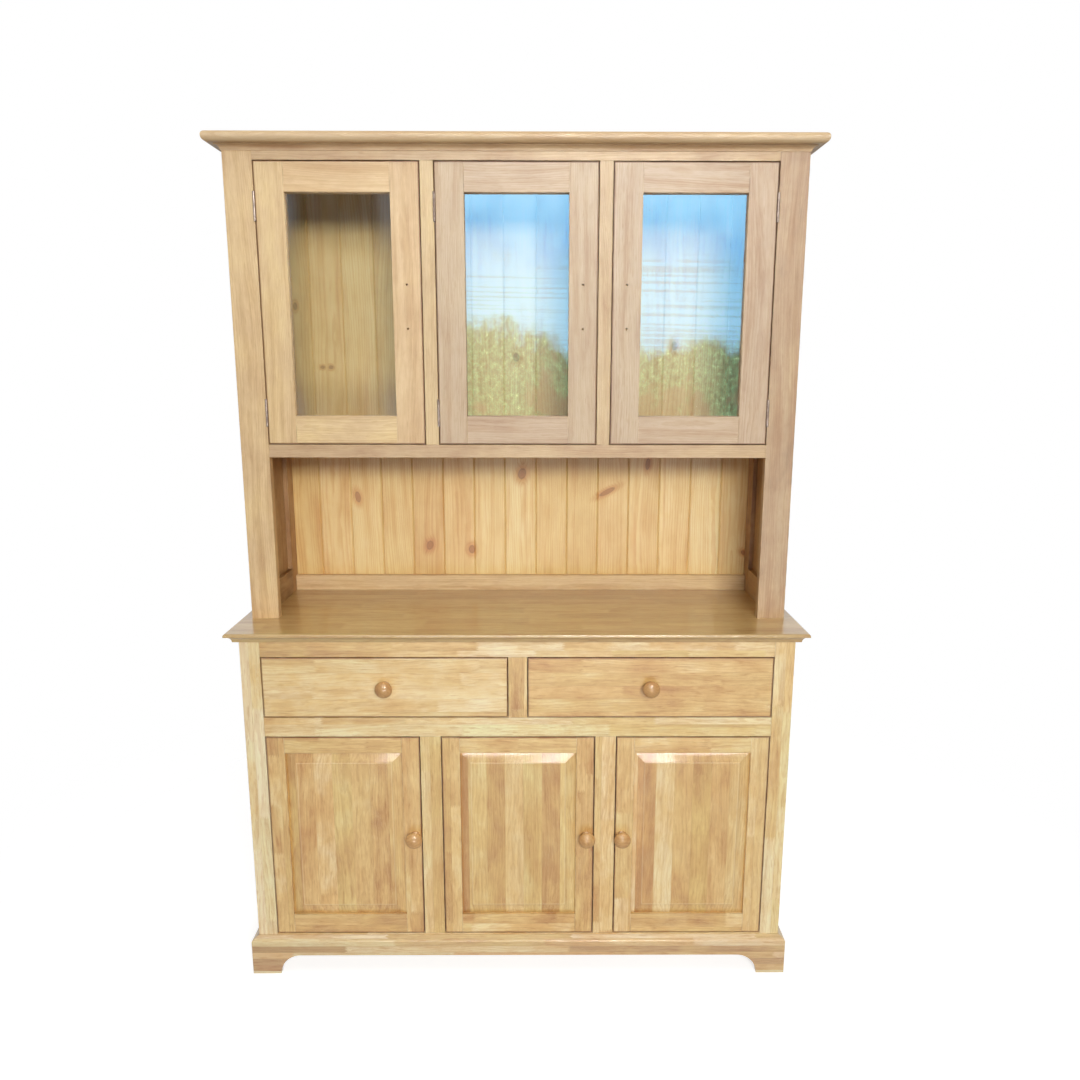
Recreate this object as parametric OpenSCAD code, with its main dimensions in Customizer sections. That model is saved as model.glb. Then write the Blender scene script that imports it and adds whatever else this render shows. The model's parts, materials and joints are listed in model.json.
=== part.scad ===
// Two-piece kitchen dresser in solid timber.
// The base holds two drawers over three raised-panel doors, and a moulded counter lies on it.
// The rack stands on the counter, with three glazed doors over an open display bay.
// Lengths are in millimetres. +Z is up, the front faces -Y and the floor is Z = 0.
// The origin is on the floor, under the middle of the dresser's outer box.

/* [Base cabinet] */
// Width over the posts
base_w = 1284; // [1200:2:1360]
// Depth from the front face to the back of the rear posts
base_d = 392; // [376:1:420]
// Height from the floor to the underside of the counter
base_h = 858; // [846:1:870]
// Side of the square corner posts
post_s = 46; // [42:1:50]
// Height of the rail over the drawers
top_rail_h = 41; // [36:1:46]
// Height of the opening that a drawer fills
drawer_open_h = 149; // [143:1:155]
// Height of the rail between the drawers and the doors
mid_rail_h = 47; // [42:1:52]
// Height of the lower edge of the door openings
sill_z = 101; // [100:1:108]
// Height of the rail under the doors
bottom_rail_h = 41; // [36:1:46]
// Thickness of the front rails and uprights
rail_t = 22; // [21:0.5:25]
// Width of the upright between the drawers
drawer_muntin_w = 44; // [38:1:50]
// Width of the uprights between the doors
door_muntin_w = 49; // [42:1:56]
// Height of the rails in the sides
side_rail_h = 70; // [60:1:80]
// Thickness of the rails in the sides
side_rail_t = 22; // [20:1:25]
// Thickness of the panels in the sides of base and rack
panel_t = 10; // [8:1:12]
// Depth that a side panel stands in its groove
groove_d = 6; // [5:0.5:8]

/* [Base inside] */
// Thickness of the cupboard floors
floor_t = 18; // [16:1:20]
// Thickness of the partitions between the cupboards
partition_t = 18; // [16:1:20]
// Height that a partition reaches behind the rail over the doors
partition_lap = 22; // [16:1:25]
// Thickness of the shelves
shelf_t = 18; // [16:1:22]
// Height of a shelf's underside over the cupboard floor
shelf_rise = 250; // [200:1:300]
// Gap between a shelf and what stands beside it
shelf_gap = 1; // [0.5:0.25:2]
// Distance that a shelf lies behind the doors
shelf_setback = 6; // [4:1:12]
// Diameter of a shelf pin
shelf_pin_d = 5; // [4:0.5:6]
// Length of a shelf pin
shelf_pin_l = 16; // [14:1:18]
// Distance from a post's inner corner to the shelf pin
shelf_pin_in = 8; // [6:1:10]
// Height of the upper rail at the back
rear_rail_h = 60; // [50:1:70]
// Width of a drawer runner inside the side of a drawer
runner_w = 26; // [22:1:32]
// Thickness of a drawer runner
runner_t = 20; // [18:1:22]
// Height of the guide beside a drawer
guide_h = 20; // [15:1:25]

/* [Counter] */
// Thickness of the counter
counter_t = 23; // [20:1:26]
// Overhang of the counter at the front
counter_over = 30; // [26:1:34]
// Overhang of the counter at the sides
counter_side = 25; // [22:1:30]
// Radius of the counter's upper edge
counter_round = 5; // [3:0.5:6]
// Radius of the hollow under the counter's nose
counter_cove = 15; // [12:0.5:16]

/* [Plinth] */
// Height of the plinth
plinth_h = 98; // [92:1:100]
// Thickness of the plinth in front of the posts
plinth_t = 15; // [12:1:20]
// Height of the slope along the plinth's top
plinth_slope = 9; // [6:1:12]
// Depth of the small step under the slope
plinth_quirk = 1.5; // [1:0.25:2]
// Width of the ledge over the slope
plinth_ledge = 1.5; // [1:0.25:2.5]
// Height of the arch between the feet
arch_h = 50; // [40:1:55]
// Width of a foot on the floor
foot_w = 69; // [62:1:80]

/* [Rack] */
// Width over the rack's front posts
rack_w = 1280; // [1200:2:1340]
// Distance of the rack's front behind the front of the base
rack_setback = 95; // [85:1:105]
// Width of the rack's front posts
rack_post_w = 64.5; // [58:0.5:70]
// Thickness of the rack's front posts, rails and uprights
rack_rail_t = 22; // [21:0.5:25]
// Height of the open display bay
display_h = 388; // [360:1:420]
// Height of the rail under the glazed doors
rack_mid_rail_h = 30; // [26:1:36]
// Height of the glazed door openings
glazed_open_h = 618; // [580:1:650]
// Height of the rail over the glazed doors
rack_top_rail_h = 31; // [26:1:36]
// Width of the uprights between the glazed doors
rack_muntin_w = 30; // [26:1:36]
// Thickness of the rack's sides
rack_side_t = 32; // [28:1:36]
// Width of the front upright in a rack side
side_front_w = 40; // [34:1:46]
// Width of the rear upright in a rack side
side_rear_w = 60; // [50:1:66]
// Height of the rails in a rack side
rack_side_rail_h = 65; // [56:1:74]
// Height of the low rail in front of the back boards
back_rail_h = 40; // [34:1:46]
// Thickness of the rails in front of the rack's back boards
back_rail_t = 18; // [16:1:20]

/* [Cornice] */
// Thickness of the cornice board
cornice_t = 22; // [21:1:26]
// Overhang of the cornice at the front and sides
cornice_over = 32; // [28:1:38]
// Radius of the cornice's upper edge
cornice_round = 9; // [7:0.5:9.5]
// Radius of the cornice's lower edge
cornice_under = 11; // [9:0.5:11]
// Size of the cove moulding under the cornice
cove_s = 12; // [9:0.5:15]
// Flat left at the edges of the cove moulding
cove_flat = 2; // [1:0.25:3]

/* [Back boards] */
// Number of boards across each back
board_n = 15; // [12:1:18]
// Thickness of a back board
board_t = 12; // [10:0.5:13]
// Width of the rebate that holds the outer boards
rebate_w = 12; // [9:0.5:14]
// Width of the bevel along a board's front edges
board_v = 2.5; // [1.5:0.25:3]
// Length of a board's tongue
tongue_l = 5; // [4:0.5:6]
// Thickness of a board's tongue
tongue_t = 4; // [3:0.25:4.5]
// Gap between neighbouring boards
board_gap = 0.2; // [0.1:0.05:0.4]

/* [Glazed doors] */
// Gap round each door and drawer front
door_gap = 2; // [2:0.1:3]
// Width of the glazed doors' stiles and rails
glazed_stile_w = 64; // [56:1:72]
// Thickness of the glazed doors
glazed_t = 22; // [20:0.5:22]
// Width of the rebate behind the glass
glass_rebate_w = 8; // [6:0.5:10]
// Thickness of the wood in front of the glass
glass_lip = 10; // [8:0.5:11]
// Thickness of the glass
glass_t = 4; // [3:0.5:5]
// Room between the edge of the glass and its rebate
glass_room = 1; // [0.5:0.25:1.5]
// Distance between the two screw holes for a bar handle
handle_pitch = 96; // [64:32:160]
// Diameter of the handle's screw holes
handle_hole_d = 5; // [4:0.5:6]

/* [Butt hinges] */
// Height of a hinge
hinge_h = 62; // [50:1:75]
// Distance from the top of a door to the middle of its upper hinge
hinge_top_in = 94; // [70:1:120]
// Distance from the bottom of a door to the middle of its lower hinge
hinge_low_in = 71; // [60:1:120]
// Radius of a hinge's knuckles
knuckle_r = 3; // [2.5:0.1:3.2]
// Radius of a hinge's pin
hinge_pin_r = 1.5; // [1.2:0.1:1.7]
// Running gap round the pins and between the knuckles
pin_gap = 0.05; // [0.03:0.01:0.08]
// Gap between a hinge's knuckles along the pin
knuckle_gap = 0.2; // [0.1:0.05:0.3]
// Distance from the door's face forward to the middle of the pin
pin_forward = 3.2; // [3.1:0.1:4]
// Thickness of a hinge's leaves
leaf_t = 0.9; // [0.7:0.05:0.95]
// Width of a leaf in the gap beside the door
leaf_w = 18; // [14:1:20]

/* [Panelled doors] */
// Thickness of the panelled doors
door_t = 20; // [18:0.5:21]
// Width of the panelled doors' stiles
door_stile_w = 42; // [38:1:48]
// Height of the panelled doors' top rail
door_top_rail_h = 41; // [36:1:48]
// Height of the panelled doors' bottom rail
door_low_rail_h = 50; // [42:1:56]
// Width of the bevel round a raised panel
bevel_w = 25; // [18:1:32]
// Distance from the door's face back to the flat field of its panel
field_set = 1.5; // [0.5:0.25:2.5]
// Height of the step between the field and its bevel
field_step = 1.2; // [0.8:0.1:1.8]
// Distance from the door's face back to the panel's tongue
tongue_set = 8; // [6.5:0.25:9]
// Thickness of the panel's tongue
door_tongue_t = 6; // [5:0.5:7]
// Depth that a raised panel stands in its groove
door_groove_d = 8; // [6:0.5:9]
// Diameter of a pivot pin
pivot_d = 5; // [4:0.5:6]
// Distance from the door's edge to the middle of its pivot
pivot_in = 14; // [12:0.5:16]
// Distance from the door's face back to the middle of its pivot
pivot_back = 6; // [5:0.25:6.5]
// Length of a pivot pin inside the door
pivot_door_l = 14; // [12:1:16]
// Length of a pivot pin inside the rail
pivot_rail_l = 7; // [5:0.5:8]
// Diameter of the collar that carries a door
collar_d = 9; // [8:0.5:10]

/* [Drawers] */
// Thickness of a drawer front
drawer_front_t = 20; // [18:0.5:21]
// Depth of a drawer from its face to the end of its sides
drawer_d = 340; // [310:1:345]
// Height of a drawer's sides
drawer_side_h = 130; // [124:1:134]
// Thickness of a drawer's sides and back
drawer_side_t = 12; // [10:0.5:14]
// Gap between a drawer and its runners
run_gap = 0.3; // [0.2:0.05:0.5]
// Gap between a drawer's sides and the kickers over them
tip_gap = 2; // [1.5:0.25:3]
// Height of a drawer's bottom over the lower edge of its sides
bottom_rise = 10; // [8:0.5:12]
// Thickness of a drawer's bottom
bottom_t = 6; // [5:0.5:7]
// Depth of the grooves and housings in a drawer's sides
drawer_groove_d = 5; // [4:0.5:6]
// Length of the sides behind a drawer's back
drawer_tail_l = 15; // [10:1:20]
// Number of dovetails at each front corner of a drawer
tail_n = 3; // [2:1:4]
// Length of a dovetail
tail_l = 13; // [10:0.5:14]
// Height of a dovetail at its root
tail_root_h = 18; // [14:1:20]
// Amount that a dovetail widens towards its tip, on each side
tail_flare = 3; // [2:0.25:3.5]

/* [Knobs] */
// Diameter of a knob's head
knob_d = 40; // [34:1:44]
// Distance that a knob stands out
knob_out = 34; // [31:1:38]
// Radius of the knob's rim
knob_rim_r = 4.5; // [3.5:0.25:5]
// Distance from the door to the middle of the knob's rim
knob_rim_out = 22; // [20:0.5:24]
// Diameter of the knob's foot
knob_foot_d = 24; // [20:1:26]
// Thickness of the knob's foot
knob_foot_h = 3; // [2:0.5:4]
// Smallest diameter of the knob's neck
knob_neck_d = 18; // [15:1:19]
// Diameter of the tenon that holds a knob
knob_tenon_d = 10; // [8:0.5:12]
// Length of the tenon that holds a knob
knob_tenon_l = 12; // [9:0.5:14]
// Distance from a door's free edge to the middle of its knob
knob_in = 16; // [14:0.5:22]
// Height of the knobs over the middle of a door or drawer
knob_rise = 3; // [0:1:6]

/* [Fittings] */
// Width of a magnetic catch
catch_w = 46; // [38:1:50]
// Depth of a magnetic catch behind its rail
catch_d = 14; // [10:1:16]
// Height of a catch on the rail and behind the door
catch_h = 14; // [10:1:18]
// Distance from a door's free edge to the middle of its catch
catch_in = 48; // [40:1:60]
// Distance between the middle and the joining plates at the back
plate_x = 420; // [300:10:480]
// Width of a joining plate
plate_w = 32; // [24:2:40]
// Height that a joining plate reaches over and under the counter
plate_reach = 55; // [40:1:70]
// Thickness of a joining plate
plate_t = 2; // [1.5:0.5:3]
// Diameter of the screw holes in a joining plate
plate_hole_d = 4.5; // [3.5:0.5:5]
// Distance from a plate's end to its outer hole
plate_hole_in = 12; // [9:1:14]

/* [Hidden] */
$fn = 64;
// Play left in glued joints and drilled holes
fit = 0.1;
// Length by which a cut runs past a face
past = 1;

half_w = base_w / 2;
post_in = half_w - post_s;
side_in = half_w - side_rail_t;
rear_post_y = base_d - post_s;
board_y = base_d - board_t;
rear_rail_y = board_y - rail_t;
drawer_top_z = base_h - top_rail_h;
drawer_z = drawer_top_z - drawer_open_h;
door_top_z = drawer_z - mid_rail_h;
base_low_z = sill_z - bottom_rail_h;
bay_w = (2 * post_in - 2 * door_muntin_w) / 3;
bay_pitch = bay_w + door_muntin_w;
drawer_bay_w = post_in - drawer_muntin_w / 2;
drawer_pitch = drawer_bay_w + drawer_muntin_w;
shelf_z = sill_z + shelf_rise;

rack_z = base_h + counter_t;
display_top_z = rack_z + display_h;
glazed_z = display_top_z + rack_mid_rail_h;
glazed_top_z = glazed_z + glazed_open_h;
rack_top_z = glazed_top_z + rack_top_rail_h;
rack_half = rack_w / 2;
rack_in = rack_half - rack_side_t;
rack_post_in = rack_half - rack_post_w;
rack_side_y = rack_setback + rack_rail_t;
rack_rear_y = base_d - side_rear_w;
rack_bay_w = (2 * rack_post_in - 2 * rack_muntin_w) / 3;
rack_bay_pitch = rack_bay_w + rack_muntin_w;

back_y = base_d + plate_t;
y_mid = (back_y - knob_out) / 2;

glazed_w = rack_bay_w - 2 * door_gap;
glazed_h = glazed_open_h - 2 * door_gap;
glazed_low_z = glazed_z + door_gap;
pane_w = glazed_w - 2 * glazed_stile_w;
pane_low_z = glazed_low_z + glazed_stile_w;
pane_h = glazed_h - 2 * glazed_stile_w;

door_w = bay_w - 2 * door_gap;
door_low_z = sill_z + door_gap;
door_h = door_top_z - sill_z - 2 * door_gap;
field_w = door_w - 2 * door_stile_w;
field_low_z = door_low_z + door_low_rail_h;
field_h = door_h - door_low_rail_h - door_top_rail_h;

front_w = drawer_bay_w - 2 * door_gap;
front_h = drawer_open_h - 2 * door_gap;
box_z = drawer_z + run_gap;
box_top_z = box_z + drawer_side_h;
box_in = front_w / 2 - drawer_side_t;
kicker_z = box_top_z + tip_gap;

oak = [0.80, 0.66, 0.45];
golden_wood = [0.85, 0.70, 0.43];
counter_wood = [0.68, 0.52, 0.30];
pine = [0.88, 0.72, 0.46];
inner_wood = [0.82, 0.71, 0.53];
knob_wood = [0.66, 0.43, 0.23];
bright_steel = [0.75, 0.74, 0.72];
brass = [0.72, 0.58, 0.30];
pane_tint = [0.62, 0.78, 0.84, 0.4];

// Common forms

// Puts a piece, drawn from the plane of the base's front, into the dresser's frame
module place() {
    translate([0, -y_mid, 0]) children();
}

// A square-edged board between two opposite corners
module board(lo, hi) {
    translate(lo) cube(hi - lo);
}

// A piece and its mirror image on the other side
module pair() {
    children();
    mirror([1, 0, 0]) children();
}

// Hangs a door at its bay: doors 0 and 1 hinge on the left, door 2 on the right
module hang(bay, pitch) {
    translate([(bay - 1) * pitch, 0, 0])
        if (bay == 2) mirror([1, 0, 0]) children();
        else children();
}

// Runs an outline drawn in Y and Z along X
module run_x(x0, length) {
    translate([x0, 0, 0]) rotate([90, 0, 90]) linear_extrude(height = length) children();
}

// Runs an outline drawn in X and Z along Y
module run_y(y0, length) {
    translate([0, y0 + length, 0]) rotate([90, 0, 0]) linear_extrude(height = length) children();
}

// Runs an outline drawn in X and Y up along Z
module run_z(z0, length) {
    translate([0, 0, z0]) linear_extrude(height = length) children();
}

// What a round-over of radius r takes from the corner of a square at the origin
module round_waste(r) {
    difference() {
        translate([-past, -past]) square(r + past);
        translate([r, r]) circle(r);
    }
}

// A board whose front and side edges are moulded and mitred: the children are the edge's waste,
// drawn with the nose at the origin and the underside along the first axis
module moulded_board(half, front, z0, thick) {
    intersection() {
        run_x(-half, 2 * half) difference() {
            translate([front, z0]) square([base_d - front, thick]);
            translate([front, z0]) children();
        }
        run_y(front, base_d - front) difference() {
            translate([-half, z0]) square([2 * half, thick]);
            translate([-half, z0]) children();
            mirror([1, 0]) translate([-half, z0]) children();
        }
    }
}

// The front length of a moulding round a carcass, mitred at both ends: the children are its
// section, drawn outwards from the carcass
module moulding_front(half, front, out) {
    intersection() {
        run_x(-half - out, 2 * (half + out)) translate([front, 0]) mirror([1, 0]) children();
        run_z(0, rack_top_z) polygon([
            [-half - out + fit, front - out], [half + out - fit, front - out],
            [half - fit, front], [-half + fit, front]
        ]);
    }
}

// The right-hand length of a moulding round a carcass, mitred at its front end
module moulding_side(half, front, out) {
    intersection() {
        run_y(front - out, base_d - front + out) translate([half, 0]) children();
        run_z(0, rack_top_z) polygon([
            [half, front], [half + out, front - out], [half + out, base_d], [half, base_d]
        ]);
    }
}

// Base carcass

// The space of a panel in the base's side, from groove to groove with some room round it
module base_panel_space(room) {
    mid_x = half_w - side_rail_t / 2;
    in_groove = groove_d - fit + room;
    board(
        [mid_x - panel_t / 2, post_s - in_groove, base_low_z + side_rail_h - in_groove],
        [mid_x + panel_t / 2, rear_post_y + in_groove, base_h - side_rail_h + in_groove]
    );
}

// A pair of round bars or bores for shelf pins, front and back, centred on a face at x
module shelf_pin_at(x, radius, length) {
    for (y = [post_s - shelf_pin_in, rear_post_y + shelf_pin_in])
        translate([x, y, shelf_z - shelf_pin_d / 2])
            rotate([0, 90, 0]) cylinder(r = radius, h = length, center = true);
}

module base_post_pair() {
    difference() {
        union() {
            board([post_in, 0, 0], [half_w, post_s, base_h]);
            board([post_in, rear_post_y, 0], [half_w, base_d, base_h]);
        }
        base_panel_space(fit);
        board([post_in - past, board_y, base_low_z], [post_in + rebate_w, base_d + past, base_h + past]);
        shelf_pin_at(post_in, shelf_pin_d / 2 + pin_gap, shelf_pin_l + 2 * fit);
    }
}

module base_posts() {
    color(golden_wood) place() pair() base_post_pair();
}

// A pivot hole in the rails over and under each panelled door
module pivot_holes() {
    for (bay = [0:2])
        hang(bay, bay_pitch) {
            pivot_hole(sill_z - pivot_rail_l - fit);
            pivot_hole(door_top_z - past);
        }
}

module pivot_hole(z0) {
    translate([pivot_x, pivot_back, z0])
        cylinder(r = pivot_d / 2 + pin_gap, h = pivot_rail_l + fit + past);
}

pivot_x = -door_w / 2 + pivot_in;

module base_front_rails() {
    color(golden_wood) place() {
        board([-post_in, 0, drawer_top_z], [post_in, rail_t, base_h]);
        difference() {
            union() {
                board([-post_in, 0, door_top_z], [post_in, rail_t, drawer_z]);
                board([-post_in, 0, base_low_z], [post_in, rail_t, sill_z]);
            }
            pivot_holes();
        }
    }
}

module base_uprights() {
    color(golden_wood) place() {
        board(
            [-drawer_muntin_w / 2, 0, drawer_z],
            [drawer_muntin_w / 2, rail_t, drawer_top_z]
        );
        pair() board(
            [bay_w / 2, 0, sill_z],
            [bay_w / 2 + door_muntin_w, rail_t, door_top_z]
        );
    }
}

module base_side_rails() {
    color(golden_wood) place() pair() difference() {
        for (z0 = [base_low_z, base_h - side_rail_h])
            board([side_in, post_s, z0], [half_w, rear_post_y, z0 + side_rail_h]);
        base_panel_space(fit);
    }
}

module base_side_panels() {
    color(golden_wood) place() pair() base_panel_space(0);
}

module base_rear_rails() {
    color(inner_wood) place()
        for (span = [[base_low_z, sill_z], [door_top_z, drawer_z], [base_h - rear_rail_h, base_h]])
            board([-post_in, rear_rail_y, span[0]], [post_in, board_y, span[1]]);
}

module base_floor() {
    color(inner_wood) place() difference() {
        board([-side_in, rail_t, sill_z - floor_t], [side_in, rear_rail_y, sill_z]);
        pair() {
            board([post_in, 0, 0], [half_w, post_s, base_h]);
            board([post_in, rear_post_y, 0], [half_w, base_d, base_h]);
        }
    }
}

module base_partitions() {
    mid_x = bay_pitch / 2;
    color(inner_wood) place() pair() difference() {
        board(
            [mid_x - partition_t / 2, rail_t, sill_z],
            [mid_x + partition_t / 2, rear_rail_y, door_top_z + partition_lap]
        );
        for (side = [-1, 1])
            shelf_pin_at(mid_x + side * partition_t / 2, shelf_pin_d / 2 + pin_gap, shelf_pin_l + 2 * fit);
    }
}

module base_shelf(x0, x1) {
    board(
        [x0 + shelf_gap, rail_t + shelf_setback, shelf_z],
        [x1 - shelf_gap, rear_rail_y, shelf_z + shelf_t]
    );
}

module base_shelves() {
    inner = bay_pitch / 2 + partition_t / 2;
    color(inner_wood) place() {
        base_shelf(-bay_pitch / 2 + partition_t / 2, bay_pitch / 2 - partition_t / 2);
        pair() base_shelf(inner, post_in);
    }
}

module shelf_pins() {
    color(bright_steel) place() pair() {
        shelf_pin_at(post_in, shelf_pin_d / 2, shelf_pin_l);
        for (side = [-1, 1])
            shelf_pin_at(bay_pitch / 2 + side * partition_t / 2, shelf_pin_d / 2, shelf_pin_l);
    }
}

// Tongued and grooved back boards

// Section of one board from its left edge, its front along y = 0
function board_section(width, has_groove, has_tongue) = let (
    mid = board_t / 2,
    half_tongue = tongue_t / 2,
    half_groove = half_tongue + board_gap / 2,
    groove_l = tongue_l + board_gap
) concat(
    [[board_v, 0], [width - board_v, 0], [width, board_v]],
    has_tongue ? [
        [width, mid - half_tongue], [width + tongue_l, mid - half_tongue],
        [width + tongue_l, mid + half_tongue], [width, mid + half_tongue]
    ] : [],
    [[width, board_t], [0, board_t]],
    has_groove ? [
        [0, mid + half_groove], [groove_l, mid + half_groove],
        [groove_l, mid - half_groove], [0, mid - half_groove]
    ] : [],
    [[0, board_v]]
);

module back_boards(half, z0, z1) {
    pitch = 2 * half / board_n;
    for (i = [0:board_n - 1])
        translate([-half + i * pitch, board_y, 0])
            run_z(z0, z1 - z0)
                polygon(board_section(pitch - board_gap, i > 0, i < board_n - 1));
}

module base_back_boards() {
    color(pine) place() back_boards(post_in + rebate_w - fit, base_low_z, base_h);
}

module rack_back_boards() {
    color(pine) place() back_boards(rack_in + rebate_w - fit, rack_z, rack_top_z);
}

// Drawer guides

module outer_runner() {
    low = drawer_z - runner_t;
    union() {
        board([post_in - runner_w, rail_t, low], [post_in, rear_rail_y, drawer_z]);
        board([post_in - runner_w, post_s, low], [side_in, rear_post_y, drawer_z]);
        board([post_in, post_s, low], [side_in, rear_post_y, drawer_z + guide_h]);
    }
}

module centre_runner() {
    half_muntin = drawer_muntin_w / 2;
    low = drawer_z - runner_t;
    run_y(rail_t, rear_rail_y - rail_t) union() {
        translate([-half_muntin - runner_w, low]) square([2 * (half_muntin + runner_w), runner_t]);
        translate([-half_muntin, low]) square([2 * half_muntin, runner_t + guide_h]);
    }
}

module drawer_runners() {
    color(inner_wood) place() {
        pair() outer_runner();
        centre_runner();
    }
}

module drawer_kickers() {
    centre = drawer_muntin_w / 2 + runner_w;
    color(inner_wood) place() {
        pair() board([post_in - runner_w, rail_t, kicker_z], [post_in, rear_rail_y, base_h]);
        board([-centre, rail_t, kicker_z], [centre, rear_rail_y, base_h]);
    }
}

// Counter and plinth

module counter_waste() {
    circle(counter_cove);
    translate([0, counter_t]) mirror([0, 1]) round_waste(counter_round);
}

module countertop() {
    color(counter_wood) place()
        moulded_board(half_w + counter_side, -counter_over, base_h, counter_t) counter_waste();
}

// Section of the plinth, outwards from the posts
module plinth_section() {
    nose_z = plinth_h - plinth_slope - plinth_quirk;
    polygon([
        [0, 0], [plinth_t, 0], [plinth_t, nose_z], [plinth_t - plinth_quirk, nose_z],
        [plinth_t - plinth_quirk, nose_z + plinth_quirk], [plinth_ledge, plinth_h], [0, plinth_h]
    ]);
}

// The arch between two feet, with round upper corners
module arch_outline(x0, x1) {
    for (x = [x0 + arch_h, x1 - arch_h])
        translate([x, 0]) circle(arch_h);
    translate([x0 + arch_h, -arch_h]) square([x1 - x0 - 2 * arch_h, 2 * arch_h]);
}

module plinth_front() {
    foot_x = half_w + plinth_t - foot_w;
    color(golden_wood) place() difference() {
        moulding_front(half_w, 0, plinth_t) plinth_section();
        run_y(-plinth_t - past, plinth_t + 2 * past) arch_outline(-foot_x, foot_x);
    }
}

module plinth_sides() {
    color(golden_wood) place() pair() difference() {
        moulding_side(half_w, 0, plinth_t) plinth_section();
        run_x(half_w - past, plinth_t + 2 * past)
            arch_outline(-plinth_t + foot_w, base_d - foot_w);
    }
}

// Rack carcass

module rack_front_posts() {
    color(oak) place() pair()
        board([rack_post_in, rack_setback, rack_z], [rack_half, rack_side_y, rack_top_z]);
}

module rack_front_rails() {
    color(oak) place()
        for (span = [[display_top_z, glazed_z], [glazed_top_z, rack_top_z]])
            board([-rack_post_in, rack_setback, span[0]], [rack_post_in, rack_side_y, span[1]]);
}

module rack_uprights() {
    color(oak) place() pair() board(
        [rack_bay_w / 2, rack_setback, glazed_z],
        [rack_bay_w / 2 + rack_muntin_w, rack_side_y, glazed_top_z]
    );
}

rack_mid_side_z = (display_top_z + glazed_z - rack_side_rail_h) / 2;

// The space of a panel in the rack's side between two heights, from groove to groove
module rack_panel_space(z0, z1, room) {
    mid_x = rack_half - rack_side_t / 2;
    in_groove = groove_d - fit + room;
    board(
        [mid_x - panel_t / 2, rack_side_y + side_front_w - in_groove, z0 - in_groove],
        [mid_x + panel_t / 2, rack_rear_y + in_groove, z1 + in_groove]
    );
}

module rack_panel_spaces(room) {
    rack_panel_space(rack_z + rack_side_rail_h, rack_mid_side_z, room);
    rack_panel_space(rack_mid_side_z + rack_side_rail_h, rack_top_z - rack_side_rail_h, room);
}

module rack_side_frames() {
    front_end = rack_side_y + side_front_w;
    color(oak) place() pair() {
        difference() {
            board([rack_in, rack_side_y, rack_z], [rack_half, front_end, rack_top_z]);
            rack_panel_spaces(fit);
        }
        difference() {
            board([rack_in, rack_rear_y, rack_z], [rack_half, base_d, rack_top_z]);
            board(
                [rack_in - past, board_y, rack_z - past],
                [rack_in + rebate_w, base_d + past, rack_top_z + past]
            );
            rack_panel_spaces(fit);
        }
        for (z0 = [rack_z, rack_mid_side_z, rack_top_z - rack_side_rail_h])
            difference() {
                board(
                    [rack_in, front_end + fit, z0],
                    [rack_half, rack_rear_y - fit, z0 + rack_side_rail_h]
                );
                rack_panel_spaces(fit);
            }
    }
}

module rack_side_panels() {
    color(oak) place() pair() rack_panel_spaces(0);
}

module rack_floor() {
    color(oak) place()
        board([-rack_in, rack_side_y, glazed_z - floor_t], [rack_in, board_y, glazed_z]);
}

module rack_back_rails() {
    color(oak) place()
        for (z0 = [rack_z, rack_top_z - back_rail_h])
            board([-rack_in, board_y - back_rail_t, z0], [rack_in, board_y, z0 + back_rail_h]);
}

module cornice_waste() {
    round_waste(cornice_under);
    translate([0, cornice_t]) mirror([0, 1]) round_waste(cornice_round);
}

module cornice_board() {
    color(oak) place()
        moulded_board(rack_half + cornice_over, rack_setback - cornice_over, rack_top_z, cornice_t)
            cornice_waste();
}

// Section of the cove moulding, outwards from the rack
module cove_section() {
    translate([0, rack_top_z - cove_s]) difference() {
        square(cove_s);
        translate([cove_s, 0]) circle(cove_s - cove_flat);
    }
}

module cornice_cove() {
    color(oak) place() {
        moulding_front(rack_half, rack_setback, cove_s) cove_section();
        pair() moulding_side(rack_half, rack_setback, cove_s) cove_section();
    }
}

// Butt hinges of the glazed doors

hinge_z = [
    glazed_low_z + hinge_low_in,
    glazed_low_z + glazed_h - hinge_top_in
];
hinge_x = -rack_bay_w / 2 + door_gap / 2;
knuckle_h = hinge_h / 5;

// One knuckle of a hinge with the strip that ties it to its leaf on side -1 or 1
module knuckle(index, side, trim) {
    z0 = index * knuckle_h + trim;
    length = knuckle_h - 2 * trim;
    outer = side * door_gap / 2;
    translate([0, 0, z0]) {
        cylinder(r = knuckle_r, h = length);
        translate([min(outer, outer - side * leaf_t), 0, 0])
            cube([leaf_t, pin_forward + leaf_t, length]);
    }
}

// The flat leaf of a hinge in the gap on side -1 or 1
module leaf(side) {
    outer = side * door_gap / 2;
    translate([min(outer, outer - side * leaf_t), pin_forward, 0])
        cube([leaf_t, leaf_w, hinge_h]);
}

module post_leaf() {
    union() {
        leaf(-1);
        for (index = [0, 2, 4])
            knuckle(index, -1, 0);
        cylinder(r = hinge_pin_r, h = hinge_h);
    }
}

module door_leaf() {
    difference() {
        union() {
            leaf(1);
            for (index = [1, 3])
                knuckle(index, 1, knuckle_gap);
        }
        translate([0, 0, -past]) cylinder(r = hinge_pin_r + pin_gap, h = hinge_h + 2 * past);
    }
}

module at_hinges() {
    for (z = hinge_z)
        translate([hinge_x, rack_setback - pin_forward, z - hinge_h / 2]) children();
}

module hinge_post_leaves() {
    color(bright_steel) place()
        for (bay = [0:2])
            hang(bay, rack_bay_pitch) at_hinges() post_leaf();
}

module glazed_hinges(bay) {
    color(bright_steel) place() hang(bay, rack_bay_pitch) at_hinges() door_leaf();
}

// Glazed doors

module glass_rebate() {
    translate([0, rack_setback + glass_lip, 0])
        board(
            [-pane_w / 2 - glass_rebate_w, 0, pane_low_z - glass_rebate_w],
            [pane_w / 2 + glass_rebate_w, glazed_t, pane_low_z + pane_h + glass_rebate_w]
        );
}

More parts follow.
